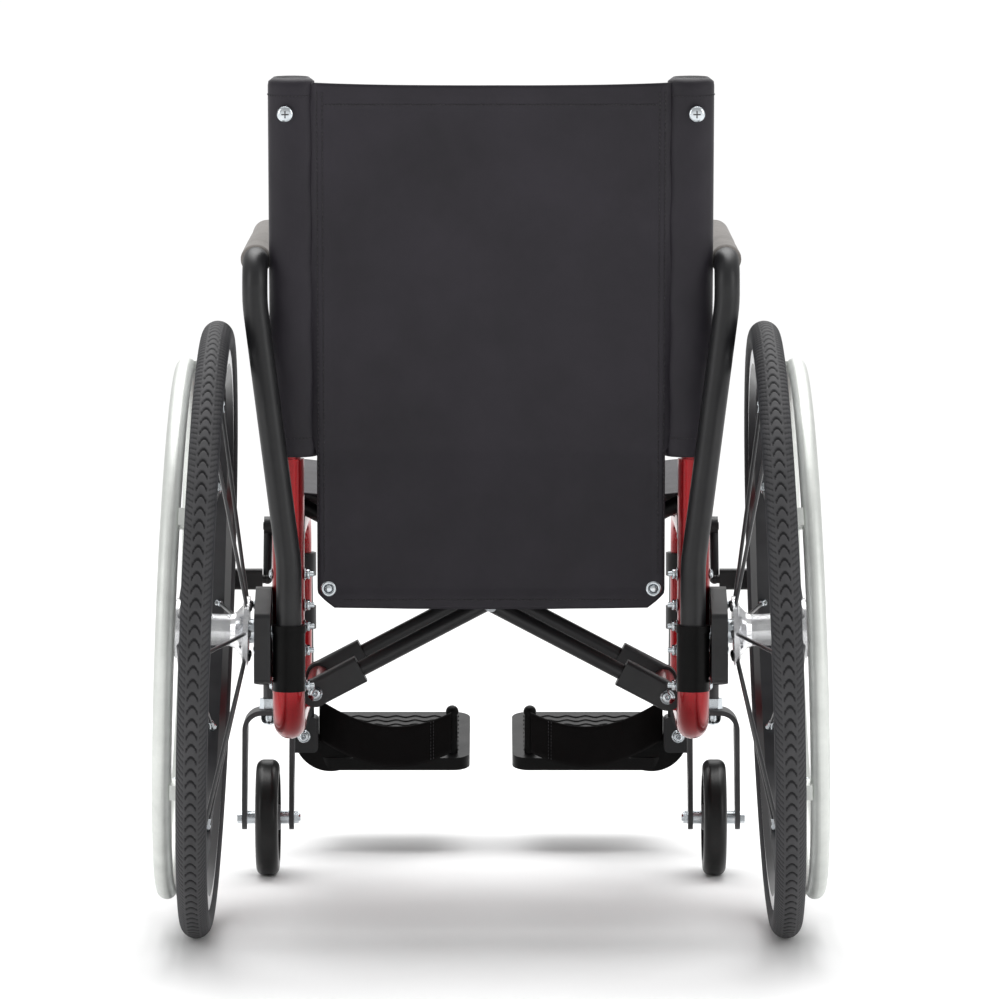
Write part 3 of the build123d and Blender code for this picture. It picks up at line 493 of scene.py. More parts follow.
def turned_points(matrix, outline, steps, offset=0.0):
    """The (r, z) outline's points turned round the matrix's z axis; offset is a share of one step."""
    points = []
    for r, z in outline:
        for step in range(steps):
            turn = 2 * pi * (step + offset) / steps
            points.append(matrix @ Vector((r * cos(turn), r * sin(turn), z)))
    return points


def closed_faces(rows, steps):
    """Faces of a turned or swept shape with both ends closed."""
    faces = grid_faces(rows, steps, wrap_columns=True)
    faces.append(tuple(reversed(range(steps))))
    faces.append(tuple(range((rows - 1) * steps, rows * steps)))
    return faces


class Parts:
    """Points and faces of several small shapes, gathered into one mesh."""

    def __init__(self):
        self.points = []
        self.faces = []

    def add(self, points, faces):
        start = len(self.points)
        self.points += [Vector(point) for point in points]
        self.faces += [tuple(start + corner for corner in face) for face in faces]

    def lathe(self, matrix, outline, steps=24):
        """A turned shape from its (r, z) outline, about the matrix's z axis, closed at both ends."""
        self.add(turned_points(matrix, outline, steps), closed_faces(len(outline), steps))

    def ring(self, matrix, outline, steps=48):
        """A closed ring from the (r, z) outline of its section."""
        faces = grid_faces(len(outline), steps, wrap_rows=True, wrap_columns=True)
        self.add(turned_points(matrix, outline, steps), faces)

    def tube(self, path, radius, steps=8):
        """A round bar along points, with closed ends."""
        path = [Vector(point) for point in path]
        points = []
        for index, point in enumerate(path):
            ahead = path[min(index + 1, len(path) - 1)] - path[max(index - 1, 0)]
            turn = ahead.to_track_quat("Z", "Y").to_matrix()
            for step in range(steps):
                angle = 2 * pi * step / steps
                points.append(point + turn @ Vector((radius * cos(angle), radius * sin(angle), 0)))
        self.add(points, closed_faces(len(path), steps))

    def piece(self, name, material, slot, body=None):
        """The gathered mesh as one piece, riding on body if one is given."""
        made = mesh_piece(name, self.points, self.faces, material)
        if body:
            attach(made, body)
        return made


def frame_at(origin, z_axis, x_hint=(0, 1, 0)):
    """A matrix at origin whose z axis points along z_axis."""
    z = Vector(z_axis).normalized()
    y = z.cross(Vector(x_hint)).normalized()
    x = y.cross(z)
    turn = Matrix((x, y, z)).transposed().to_4x4()
    return Matrix.Translation(Vector(origin)) @ turn


def wheel_matrix(side_name):
    """The rear wheel's own frame: z outwards along the cambered axle."""
    joint = JOINTS[f"wheel_spin_{side_name}"]
    return frame_at(joint["pos_m"], joint["axis"])


# ---- Fasteners -------------------------------------------------------------------------------------
def hex_ring(parts, at_end, radius, low, high):
    """A hexagonal nut with chamfered corners, between two heights on the matrix's z axis."""
    chamfer = 0.12 * radius
    inner = radius - chamfer
    outline = [(inner, low), (radius, low + chamfer), (radius, high - chamfer), (inner, high)]
    parts.add(turned_points(at_end, outline, 6, 0.5), closed_faces(len(outline), 6))


def threaded_tip(parts, at_end, radius, low, high, pitch):
    """The bolt's end beyond its nut, with turned thread crests."""
    outline = []
    count = max(2, round((high - low) / pitch))
    for index in range(count):
        z = low + (high - low) * index / count
        outline += [(radius, z), (radius * 0.84, z + pitch * 0.5)]
    outline += [(radius * 0.9, high - 0.2 * MM), (radius * 0.6, high)]
    parts.lathe(at_end, outline, 16)


def nut_end(parts, place_at, out, nut, tip):
    """Washer, hex nut and threaded tip; nut is (radius, height) and tip is (radius, length)."""
    matrix = frame_at(place_at, out, (0, 0.3, 1))
    nut_radius, nut_height = nut
    tip_radius, tip_length = tip
    washer = 0.9 * MM
    washer_radius = nut_radius * 1.12
    parts.lathe(matrix, [
        (washer_radius, 0.05 * MM), (washer_radius, washer), (nut_radius * 0.9, washer + 0.1 * MM),
    ], 28)
    nut_top = washer + nut_height
    hex_ring(parts, matrix, nut_radius, washer, nut_top)
    threaded_tip(parts, matrix, tip_radius, nut_top - 0.3 * MM, nut_top + tip_length, 1.0 * MM)


def button_end(parts, place_at, out, radius, height):
    """Round button head with a drive socket, on its washer."""
    matrix = frame_at(place_at, out, (0, 0.3, 1))
    parts.lathe(matrix, [
        (radius * 1.25, 0.05 * MM), (radius * 1.25, 0.8 * MM), (radius, 0.9 * MM),
        (radius * 0.96, height * 0.55), (radius * 0.8, height * 0.85), (radius * 0.5, height),
        (radius * 0.44, height * 0.98), (radius * 0.4, height * 0.4),
    ], 32)


def upright_bolts(side, side_name, zinc):
    """Bolts across the rear upright, and the shank and washer of the upholstery screw."""
    tube_x = middle(f"back_cane_{side_name}").x
    out = Vector((side, 0, 0))
    bolt_y = AXLE_Y + UPRIGHT_Y
    plate_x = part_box(f"axle_plate_{side_name}")[0 if side < 0 else 1].x
    parts = Parts()
    for z in UPRIGHT_BOLTS:
        inner = (tube_x - side * TUBE_RADIUS, bolt_y, z)
        nut_end(parts, inner, -out, (5.6 * MM, 4.6 * MM), (2.9 * MM, 4.2 * MM))
        head_x = plate_x if z in PLATE_BOLTS else tube_x + side * TUBE_RADIUS
        button_end(parts, (head_x, bolt_y, z), out, 4.4 * MM, 3.2 * MM)
    screw = Vector((tube_x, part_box(f"frame_bolts_{side_name}")[0].y, SCREW_Z))
    back = Vector((0, -cos(RECLINE), -sin(RECLINE)))
    parts.lathe(frame_at(screw - back * 3 * MM, back, (1, 0, 0)), [
        (2.4 * MM, -8 * MM), (2.4 * MM, 0), (7.6 * MM, 0.4 * MM), (7.9 * MM, 2.6 * MM),
    ], 32)
    piece = parts.piece(f"upright_bolts_{side_name}", zinc, "bright_steel")
    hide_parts(f"frame_bolts_{side_name}")
    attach(piece, f"{side_name}_frame")


def hinge_bolt(side_name, zinc):
    """The bolt that a footplate hinges on."""
    low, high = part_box(f"footplate_hinge_bolt_{side_name}")
    centre = (low + high) / 2
    head = (centre.x, low.y + 6 * MM, centre.z)
    length = high.y - low.y - 6 * MM
    parts = Parts()
    parts.lathe(frame_at(head, (0, 1, 0), (1, 0, 0)), [
        (4.9 * MM, 0), (4.9 * MM, length - 1 * MM), (3.9 * MM, length),
    ], 24)
    button_end(parts, head, (0, -1, 0), 5.6 * MM, 4.6 * MM)
    piece = parts.piece(f"hinge_bolt_{side_name}", zinc, "bright_steel")
    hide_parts(f"footplate_hinge_bolt_{side_name}")
    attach(piece, f"hanger_{side_name}")


def centre_bolts(parts):
    """The two bolts where the braces cross, each with two round nuts and a spacer."""
    centre_z = JOINTS["brace_cross"]["pos_m"][2]
    for start, end in CENTRE_BOLTS:
        length = end - start
        pin = frame_at((0, AXLE_Y + start, centre_z), (0, 1, 0), (1, 0, 0))
        parts.lathe(pin, [(3.95 * MM, 0), (3.95 * MM, length)], 24)
        parts.lathe(pin, [(6.4 * MM, 0.2 * MM), (6.9 * MM, 1.4 * MM), (6.9 * MM, CENTRE_NUT_HEIGHT)], 24)
        parts.lathe(pin, [
            (6.9 * MM, length - CENTRE_NUT_HEIGHT), (6.9 * MM, length - 1.4 * MM), (6.4 * MM, length),
        ], 24)
        parts.lathe(pin, [(8.8 * MM, CENTRE_SPACER_FROM), (8.8 * MM, length - CENTRE_SPACER_FROM)], 28)


def brace_bolts(side, side_name, zinc):
    """A brace's lower pivot bolt; the left piece holds the centre bolts too."""
    pivot = Vector(JOINTS["fold" if side < 0 else "right_frame_fold"]["pos_m"])
    rear, front = (AXLE_Y + place_y for place_y in BRACE_PIVOT_Y[side_name])
    head, nut = (pivot.x, rear, pivot.z), (pivot.x, front, pivot.z)
    parts = Parts()
    parts.lathe(frame_at(head, (0, 1, 0), (1, 0, 0)), [(4.95 * MM, 0), (4.95 * MM, front - rear)], 24)
    button_end(parts, head, (0, -1, 0), 6.0 * MM, 4.6 * MM)
    nut_end(parts, nut, (0, 1, 0), (7.2 * MM, 4.6 * MM), (4.0 * MM, 0.6 * MM))
    if side < 0:
        centre_bolts(parts)
    piece = parts.piece(f"brace_pivot_bolts_{side_name}", zinc, "bright_steel")
    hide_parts("brace_bolts_left" if side < 0 else "brace_bolt_right")
    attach(piece, f"brace_{side_name}")


# ---- Rear wheels -----------------------------------------------------------------------------------
def tread_cut(turn, across):
    """How deep the tread is cut, 0 to 1, at a turn counted in arches and an angle across the tyre."""
    half = np.abs(across)
    phase = turn % 1.0
    arch_line = 0.18 + 0.62 * (half / ARCH_REACH) ** 2
    arch = (np.abs(phase - arch_line) < 0.13) & (half < ARCH_REACH)
    lean = (turn + 0.9 * (half - ARCH_REACH)) % 0.5
    sipe = (np.abs(lean - 0.25) < 0.07) & (half > SIPES[0]) & (half < SIPES[1])
    edge = np.abs(half - EDGE_GROOVE) < 0.04
    return np.maximum(arch * 1.0, np.maximum(sipe * 0.55, edge * 0.5))


def tyre(side, side_name, material):
    """Tyre with its arched tread cut into the mesh."""
    across = np.concatenate([
        np.radians([-127, -112, -98, -86]), np.linspace(radians(-78), radians(78), 41),
        np.radians([86, 98, 112, 127]),
    ])
    steps = TREAD_ARCHES * STEPS_PER_ARCH
    turn = np.arange(steps) / steps
    crown = WHEEL_RADIUS - TYRE_HALF_WIDTH
    turns, angles = np.meshgrid(turn, across, indexing="ij")
    cut = tread_cut(side * turns * TREAD_ARCHES, angles)
    section = TYRE_HALF_WIDTH - GROOVE_DEPTH * cut
    r = crown + section * np.cos(angles)
    z = section * np.sin(angles)
    lip = np.array([[BEAD_RADIUS, -BEAD_HALF_WIDTH], [RIM_FLANGE_RADIUS, -BEAD_HALF_WIDTH]])
    r = np.concatenate([np.tile(lip[:, 0], (steps, 1)), r, np.tile(lip[::-1, 0], (steps, 1))], axis=1)
    z = np.concatenate([np.tile(lip[:, 1], (steps, 1)), z, np.tile(-lip[::-1, 1], (steps, 1))], axis=1)
    columns = r.shape[1]
    angle = 2 * pi * turn[:, None]
    flat = np.stack([r * np.cos(angle), r * np.sin(angle), z], axis=-1).reshape(-1, 3)
    matrix = np.array(wheel_matrix(side_name))
    points = flat @ matrix[:3, :3].T + matrix[:3, 3]
    rows, cols = np.meshgrid(np.arange(steps), np.arange(columns), indexing="ij")
    next_row, next_col = (rows + 1) % steps, (cols + 1) % columns
    quads = np.stack([
        rows * columns + cols, next_row * columns + cols,
        next_row * columns + next_col, rows * columns + next_col,
    ], axis=-1).reshape(-1, 4)
    mesh = bpy.data.meshes.new(f"treaded_tyre_{side_name}")
    mesh.vertices.add(len(points))
    mesh.vertices.foreach_set("co", points.astype(np.float32).ravel())
    mesh.loops.add(quads.size)
    mesh.loops.foreach_set("vertex_index", quads.astype(np.int32).ravel())
    mesh.polygons.add(len(quads))
    mesh.polygons.foreach_set("loop_start", np.arange(0, quads.size, 4, dtype=np.int32))
    mesh.update(calc_edges=True)
    # The cut depth is kept for the tyre's material, which paints the grooves dark as painted shade.
    groove = mesh.attributes.new("groove", "FLOAT", "POINT")
    groove.data.foreach_set("value", np.pad(cut, ((0, 0), (2, 2))).astype(np.float32).ravel())
    mesh.polygons.foreach_set("use_smooth", [True] * len(mesh.polygons))
    mesh.materials.append(material)
    piece = bpy.data.objects.new(f"treaded_tyre_{side_name}", mesh)
    bpy.context.scene.collection.objects.link(piece)
    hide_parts(f"tyre_{side_name}")
    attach(piece, f"rear_wheel_{side_name}")


def spoke_line(wheel, index):
    """Foot and rim end of one spoke, and its direction, in the chair's frame."""
    flange = index % 2
    turn = 2 * pi * index / SPOKES
    foot_r, foot_z = SPOKE_FOOT_R[flange], SPOKE_FOOT_Z[flange]
    foot = wheel @ Vector((foot_r * cos(turn), foot_r * sin(turn), foot_z))
    tip = wheel @ Vector((RIM_INNER_RADIUS * cos(turn), RIM_INNER_RADIUS * sin(turn), 0))
    return foot, tip, (tip - foot).normalized()


def spoke_fittings(side_name, zinc, black):
    """Silver nipples at the rim, and black round heads where the spokes hook into the flanges."""
    wheel = wheel_matrix(side_name)
    axle = wheel.col[2].to_3d()
    nipples, heads = Parts(), Parts()
    for index in range(SPOKES):
        foot, tip, direction = spoke_line(wheel, index)
        nipples.lathe(frame_at(tip - direction * 15 * MM, direction, axle), [
            (2.1 * MM, 0), (2.6 * MM, 0.6 * MM), (2.6 * MM, 8 * MM), (4.0 * MM, 10 * MM),
            (4.3 * MM, 13 * MM), (4.0 * MM, 15.5 * MM),
        ], 12)
        flange = index % 2
        at_flange = wheel @ Vector((*(wheel.inverted() @ foot).xy, FLANGE_FACE_Z[flange]))
        out = axle if flange else -axle
        heads.lathe(frame_at(at_flange, out), [
            (4.2 * MM, -0.2 * MM), (4.2 * MM, 1.2 * MM), (3.4 * MM, 2.3 * MM), (1.6 * MM, 2.9 * MM),
        ], 16)
    body = f"rear_wheel_{side_name}"
    nipples.piece(f"spoke_nipples_{side_name}", zinc, "bright_steel", body)
    heads.piece(f"spoke_heads_{side_name}", black, "black_spoke", body)


def push_ring_screws(side_name, zinc):
    """Two screw heads on each of the push ring's tabs."""
    wheel = wheel_matrix(side_name)
    parts = Parts()
    for index in range(PUSH_RING_TABS):
        turn = 2 * pi * (index + 0.5) / PUSH_RING_TABS
        radial = Vector((cos(turn), sin(turn), 0))
        along = Vector((-sin(turn), cos(turn), 0))
        for way in (-0.5, 0.5):
            spot = radial * TAB_SCREW_RADIUS + along * way * TAB_SCREW_APART + Vector((0, 0, TAB_SCREW_Z))
            parts.lathe(frame_at(wheel @ spot, wheel.to_3x3() @ -radial), [
                (3.0 * MM, -0.3 * MM), (3.0 * MM, 1.6 * MM), (2.2 * MM, 2.6 * MM), (1.0 * MM, 2.8 * MM),
            ], 12)
    parts.piece(f"push_ring_screws_{side_name}", zinc, "bright_steel", f"rear_wheel_{side_name}")


# ---- Back ------------------------------------------------------------------------------------------
def cane_y(z):
    """Centre line of the back canes."""
    return AXLE_Y + UPRIGHT_Y - max(z - CANE_BEND_Z, 0) * tan(RECLINE)


def smooth_step(value):
    value = min(max(value, 0.0), 1.0)
    return value * value * (3 - 2 * value)


def round_over(share):
    """A quarter circle's drop, 0 at the start and 1 at the end."""
    share = min(max(share, 0.0), 1.0)
    return 1 - (1 - share * share) ** 0.5


def panel_half_width(z):
    """Half width of the back panel: tucked in at the sleeves, and cut in at its lower corners."""
    reach = SEAM_X + EDGE_TUCK * smooth_step((z - SLEEVE_LOW) / (20 * MM))
    share = min(max((CORNER_TOP - z) / (CORNER_TOP - PANEL_LOW), 0.0), 1.0)
    return reach - CORNER_IN * share ** 1.3


def panel_y(x, z):
    """The panel's middle surface: hung from the sleeves, bellied a little and softly creased."""
    share = x / SEAM_X
    height = (z - PANEL_LOW) / (PANEL_TOP - PANEL_LOW)
    belly = 9 * MM * (1 - share * share) * sin(pi * min(max(height, 0.02), 0.98)) ** 0.6
    long_folds = 1.2 * MM * sin(5.2 * share * pi + 1.3 * sin(2.2 * pi * height)) * (1 - abs(share))
    settle = 5 * MM * smooth_step((SLEEVE_LOW - z) / (SLEEVE_LOW - PANEL_LOW))
    tuck = 7 * MM * smooth_step((abs(x) - SEAM_X + 3 * MM) / (EDGE_TUCK + 3 * MM))
    return cane_y(z) - 11.5 * MM + belly + long_folds + settle + tuck


def back_panel(nylon, thread, zinc):
    """Back panel as one thin sheet with hems and a curved lower edge, and its stitching and grommets."""
    columns, rows = 97, 141
    front, back = [], []
    for i in range(rows):
        share = i / (rows - 1)
        for j in range(columns):
            across = 2 * j / (columns - 1) - 1
            z = PANEL_LOW + (PANEL_TOP - PANEL_LOW) * share
            x = across * panel_half_width(z)
            sag = 4 * MM * cos(across * pi / 2) * (1 - smooth_step(share / 0.25))
            z += -sag * 0.4 + 3 * MM * abs(across) ** 3 * smooth_step((share - 0.9) / 0.1)
            hem = hem_lift(x, PANEL_LOW + (PANEL_TOP - PANEL_LOW) * share)
            y = panel_y(x, z)
            back.append(Vector((x, y - PANEL_THICKNESS / 2 - hem, z)))
            front.append(Vector((x, y + PANEL_THICKNESS / 2 + hem, z)))
    panel = mesh_piece("back_panel", back + front, sheet_faces(rows, columns), nylon)
    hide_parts("back_upholstery")

    stitches = Parts()
    low = GROMMET_Z + 14 * MM
    for x in (-SEAM_X + 7 * MM, -SEAM_X + 1.5 * MM, SEAM_X - 1.5 * MM, SEAM_X - 7 * MM):
        stitch_line(stitches, lambda t, x=x: (x, low + t * (PANEL_TOP - 6 * MM - low)), 110)
    for z, reach in ((PANEL_TOP - 19 * MM, SEAM_X - 8 * MM), (PANEL_LOW + 8 * MM, GROMMET_X - 16 * MM)):
        stitch_line(stitches, lambda t, z=z, reach=reach: (-reach + 2 * reach * t, z), 90)
    seams = stitches.piece("back_stitching", thread, "nylon")

    rings = [grommet(side, side_name, zinc) for side, side_name in SIDES]
    for piece in (panel, seams):
        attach(piece, "left_frame")
        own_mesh(piece)


def stitch_line(parts, where, count):
    """A row of short stitches on the panel's rear face, along where(t) in x and z."""
    for index in range(count):
        points = []
        for share in (0.14, 0.5, 0.86):
            x, z = where((index + share) / count)
            lift = 0.45 * MM if share == 0.5 else 0.1 * MM
            points.append((x, panel_y(x, z) - PANEL_THICKNESS / 2 - hem_lift(x, z) - lift, z))
        parts.tube(points, THREAD_RADIUS, 5)


def hem_lift(x, z):
    """Extra half thickness where the panel is folded over along its edges."""
    share = (z - PANEL_LOW) / (PANEL_TOP - PANEL_LOW)
    folded = share < 0.035 or share > 0.962 or abs(x) > SEAM_X - 10 * MM
    return 0.9 * MM if folded else 0.0


def grommet(side, side_name, zinc):
    """Rolled metal eyelet in the panel's lower corner, with its screw head."""
    x = side * GROMMET_X
    y = panel_y(x, GROMMET_Z) - PANEL_THICKNESS / 2 - hem_lift(x, GROMMET_Z)
    out = frame_at((x, y, GROMMET_Z), (0, -1, 0), (1, 0, 0))
    parts = Parts()
    parts.ring(out, [
        (4.4 * MM, -0.2 * MM), (4.2 * MM, 0.9 * MM), (5.2 * MM, 1.9 * MM), (6.6 * MM, 2.0 * MM),
        (7.8 * MM, 1.1 * MM), (8.0 * MM, -0.2 * MM),
    ], 40)
    parts.lathe(out, [
        (3.9 * MM, -0.4 * MM), (3.9 * MM, 0.6 * MM), (3.0 * MM, 1.2 * MM), (1.2 * MM, 1.5 * MM),
    ], 24)
    return parts.piece(f"back_grommet_{side_name}", zinc, "bright_steel", f"{side_name}_frame")


def cane_sleeve(side, side_name, nylon, thread):
    """Fabric tube round a back cane, flattened, with its rolled lower hem and a few creases."""
    rows, columns = 90, 56
    centre_x = (SEAM_X + SLEEVE_OUT_X) / 2
    half = (SLEEVE_OUT_X - SEAM_X) / 2
    outward = Vector((0, -cos(RECLINE), -sin(RECLINE)))

    def skin(share, angle, inset):
        z = SLEEVE_LOW + (SLEEVE_TOP - SLEEVE_LOW) * share
        hem = 0.7 * MM if share < 0.035 else 0.0
        inset += 6 * MM * round_over((share - 0.98) / 0.02)
        crease = 0.7 * MM * sin(31 * share + 2.4 * sin(angle)) * max(0.0, cos(angle - 2.6)) ** 2
        ripple = 0.5 * MM * sin(47 * share * (1 + 0.05 * side) + 3 * angle)
        width = half + hem + crease * 0.5 - inset
        depth = SLEEVE_HALF_DEPTH + hem + crease + ripple * 0.4 - inset
        flat = abs(sin(angle)) ** 0.82 * (1 if sin(angle) >= 0 else -1)
        base = Vector((side * centre_x, cane_y(z), z))
        return base + Vector((side * cos(angle) * width, 0, 0)) + outward * flat * depth

    points = []
    for inset in (0.0, SLEEVE_THICKNESS):
        for i in range(rows):
            for j in range(columns):
                points.append(skin(i / (rows - 1), 2 * pi * j / columns, inset))
    faces = grid_faces(rows, columns, wrap_columns=True)
    count = rows * columns
    faces += [tuple(count + corner for corner in reversed(face)) for face in faces]
    for j in range(columns):
        m = (j + 1) % columns
        faces.append((j, count + j, count + m, m))
    faces.append(tuple((rows - 1) * columns + j for j in range(columns)))
    faces.append(tuple(count + (rows - 1) * columns + j for j in reversed(range(columns))))
    sleeve = mesh_piece(f"cane_sleeve_{side_name}", points, faces, nylon)

    stitches = Parts()
    for share in (0.05, 0.955):
        ring = [skin(share, 2 * pi * j / 80, -0.35 * MM) for j in range(80)]
        for j in range(0, 80, 2):
            stitches.tube([ring[j], ring[(j + 1) % 80]], 0.4 * MM, 5)
    seam_angle = 1.57 + 1.18
    for share in np.linspace(0.06, 0.94, 92):
        stitches.tube([skin(at, seam_angle, -0.35 * MM) for at in (share, share + 0.006)], 0.4 * MM, 5)
    seam = stitches.piece(f"sleeve_stitching_{side_name}", thread, "nylon")
    for piece in (sleeve, seam):
        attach(piece, f"{side_name}_frame")


def upholstery_screw(side_name, zinc, dark):
    """Domed face of the screw that holds a sleeve to its cane, and a dark cross on it as painted shade in
    its cross recess.
    """
    screw_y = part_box(f"frame_bolts_{side_name}")[0].y
    centre = Vector((middle(f"back_cane_{side_name}").x, screw_y, SCREW_Z))
    out = frame_at(centre, (0, -cos(RECLINE), -sin(RECLINE)), (1, 0, 0))
    dome, cross = Parts(), Parts()
    dome.lathe(out, [
        (8.0 * MM, -0.6 * MM), (7.9 * MM, 0.5 * MM), (7.0 * MM, 1.5 * MM),
        (4.4 * MM, 2.3 * MM), (1.0 * MM, 2.5 * MM),
    ], 40)
    # The cross is drawn in dark paint on the dome: painted shade where the recess would be.
    for turn in (0, pi / 2):
        ends = (-3.6 * MM, 3.6 * MM)
        arm = [out @ Vector((reach * cos(turn), reach * sin(turn), 2.25 * MM)) for reach in ends]
        cross.tube(arm, 0.75 * MM, 6)
    dome.piece(f"screw_face_{side_name}", zinc, "bright_steel", f"{side_name}_frame")
    cross.piece(f"screw_recess_shade_{side_name}", dark, "bright_steel", f"{side_name}_frame")


# ---- Seat ------------------------------------------------------------------------------------------
def seat_section():
    """The seat fabric's line across the chair, from under one rail, over it, to under the other."""
    wrap = []
    for step in range(7):
        turn = radians(-30 + 20 * step)
        wrap.append((RAIL_X + RAIL_WRAP_RADIUS * cos(turn), RAIL_Z + RAIL_WRAP_RADIUS * sin(turn)))
    between = []
    spans = 46
    for step in range(1, spans):
        share = 1 - 2 * step / spans
        x = share * (RAIL_X - 2 * MM)
        between.append((x, RAIL_Z + RAIL_WRAP_RADIUS - SEAT_SAG * (1 - share * share)))
    return wrap + between + [(-x, z) for x, z in reversed(wrap)]


def seat_sling(nylon):
    """Seat fabric slung between the seat rails, wrapped over each rail."""
    low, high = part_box("seat_sling")
    line = seat_section()
    rows, columns = 60, len(line)
    points = []
    for raised in (0.0, SEAT_THICKNESS):
        for i in range(rows):
            share = i / (rows - 1)
            y = low.y + 2 * MM + (high.y - low.y - 4 * MM) * share
            for index, (x, z) in enumerate(line):
                away = Vector((x - (RAIL_X if x > 0 else -RAIL_X), 0, z - RAIL_Z))
                if abs(x) > RAIL_X - 4 * MM:
                    points.append(Vector((x, y, z)) + away.normalized() * raised)
                    continue
                inside = 1 - abs(2 * index / (columns - 1) - 1)
                wave = 1.2 * MM * sin(13 * share * pi + 4 * inside) * smooth_step(inside * 2.4 - 0.4)
                points.append(Vector((x, y, z + wave + raised)))
    sling = mesh_piece("seat_fabric", points, sheet_faces(rows, columns), nylon)
    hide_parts("seat_sling")
    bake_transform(sling)


# ---- Heel loops ------------------------------------------------------------------------------------
def heel_loop(side, side_name, webbing, thread):
    """Webbing band from the hanger to the footplate's post, sagging in the middle."""
    low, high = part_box(f"heel_loop_{side_name}")
    x_out = high.x if side > 0 else -low.x
    x_in = low.x if side > 0 else -high.x
    y_back, y_front = low.y, high.y
    tall = high.z - low.z
    columns, rows = 70, 14

    def centre(share):
        """Middle of the band at a share of its length, from the hanger to the post."""
        x = x_out + (x_in - x_out) * share
        y = y_front - (y_front - y_back) * 4 * share * (1 - share) * 0.9 - 1.5 * MM
        raised_ends = 24 * MM * (1 - share) ** 2.6 + 10 * MM * share ** 4
        z = low.z + tall / 2 + raised_ends - 8 * MM * sin(pi * share)
        return Vector((side * x, y, z))

    def half_thickness(share):
        return BAND_THICKNESS / 2 + (BAND_DOUBLED_BY if share > BAND_DOUBLED_FROM else 0.0)

    points = []
    for inset in (-1, 1):
        for i in range(rows):
            lift = i / (rows - 1) - 0.5
            for j in range(columns):
                share = j / (columns - 1)
                curl = BAND_CURL * (2 * lift) ** 2
                edge = 1 if 0 < i < rows - 1 else 0.45
                skin = inset * half_thickness(share) * edge
                points.append(centre(share) + Vector((0, skin - curl, lift * tall)))
    band = mesh_piece(f"heel_band_{side_name}", points, sheet_faces(rows, columns), webbing)
    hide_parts(f"heel_loop_{side_name}")
    stitches = Parts()
    for share in (0.845, 0.865):
        for index in range(12):
            lift = -0.46 + 0.92 * index / 11.5
            y = -BAND_CURL * (2 * lift) ** 2 - half_thickness(share) - 0.25 * MM
            ends = [centre(share) + Vector((0, y, at * tall)) for at in (lift, lift + 0.05)]
            stitches.tube(ends, THREAD_RADIUS, 5)
    seam = stitches.piece(f"heel_stitching_{side_name}", thread, "webbing")
    for piece in (band, seam):
        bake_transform(piece)


# ---- Footplate tread -------------------------------------------------------------------------------
def footplate_ribs(side, side_name, plastic):
    """Wavy raised ribs on top of a footplate."""
    low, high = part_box(f"footplate_{side_name}")
    forward = Vector((0, cos(PLATE_PITCH), sin(PLATE_PITCH)))
    up = Vector((0, -sin(PLATE_PITCH), cos(PLATE_PITCH)))
    rear = Vector((0, low.y, low.z))
    to_top = up * (PLATE_THICKNESS + 0.2 * MM)
    x_in, x_out = PLATE_SPAN_X
    length = (high.y - low.y) / cos(PLATE_PITCH)
    steps = 64
    parts = Parts()
    for index in range(RIBS):
        along = 30 * MM + (length - 46 * MM) * index / (RIBS - 1)
        points = []
        for step in range(steps):
            x = x_in + (x_out - x_in) * step / (steps - 1)
            wave = 2.6 * MM * sin(2 * pi * (x - x_in) / (21 * MM))
            points.append(Vector((side * x, 0, 0)) + rear + forward * (along + wave) + to_top)
        parts.tube(points, 1.5 * MM, 8)
    parts.piece(f"footplate_ribs_{side_name}", plastic, "black_plastic", f"footplate_{side_name}")


# ---- Armrest pads ----------------------------------------------------------------------------------
def arm_pad(side, side_name, foam):
    """Foam sleeve: soft rounded ends, slightly flattened on top, with shallow dents."""
    low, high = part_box(f"arm_pad_{side_name}")
    centre_x = (low.x + high.x) / 2
    radius = (high.x - low.x) / 2
    climb = (high.z - low.z - 2 * radius) / (high.y - low.y)
    rows, columns = 90, 48
    points = []
    rng = np.random.default_rng(7 + side)
    dents = [(rng.uniform(0.1, 0.9), rng.uniform(0, 2 * pi), rng.uniform(0.4, 0.9) * MM) for _ in range(14)]
    for i in range(rows):
        share = i / (rows - 1)
        end = min(share, 1 - share) * (high.y - low.y)
        round_off = min(1.0, end / (7 * MM))
        shrink = 1 - 0.34 * (1 - (1 - (1 - round_off) ** 2) ** 0.5)
        y = low.y + (high.y - low.y) * share
        z0 = low.z + radius + climb * (y - low.y)
        for j in range(columns):
            angle = 2 * pi * j / columns
            dent = 0.0
            for where, around, deep in dents:
                gap = ((share - where) * 9) ** 2 + (1 - cos(angle - around)) * 3
                dent += deep * np.exp(-gap * 2.5)
            worn = 0.5 * MM * max(0.0, sin(angle)) ** 3
            r = (radius - 0.1 * MM - dent - worn) * shrink
            points.append(Vector((centre_x + r * cos(angle), y, z0 + r * sin(angle))))
    pad = mesh_piece(f"foam_sleeve_{side_name}", points, closed_faces(rows, columns), foam)
    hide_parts(f"arm_pad_{side_name}")
    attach(pad, f"armrest_{side_name}")


# ---- Finishes on the CAD nodes ---------------------------------------------------------------------
def finish_nodes(finishes):
    """Gives each shown CAD node its finish; finishes maps the start of a node's name to a material."""
    for name, node in frame["nodes"].items():
        kind = name.removesuffix("_left").removesuffix("_right")
        side_name = "left" if name.endswith("_left") else "right"
        made = finishes[kind]
        if isinstance(made, dict):
            made = made[side_name]
        node.data.materials.clear()
        node.data.materials.append(made)


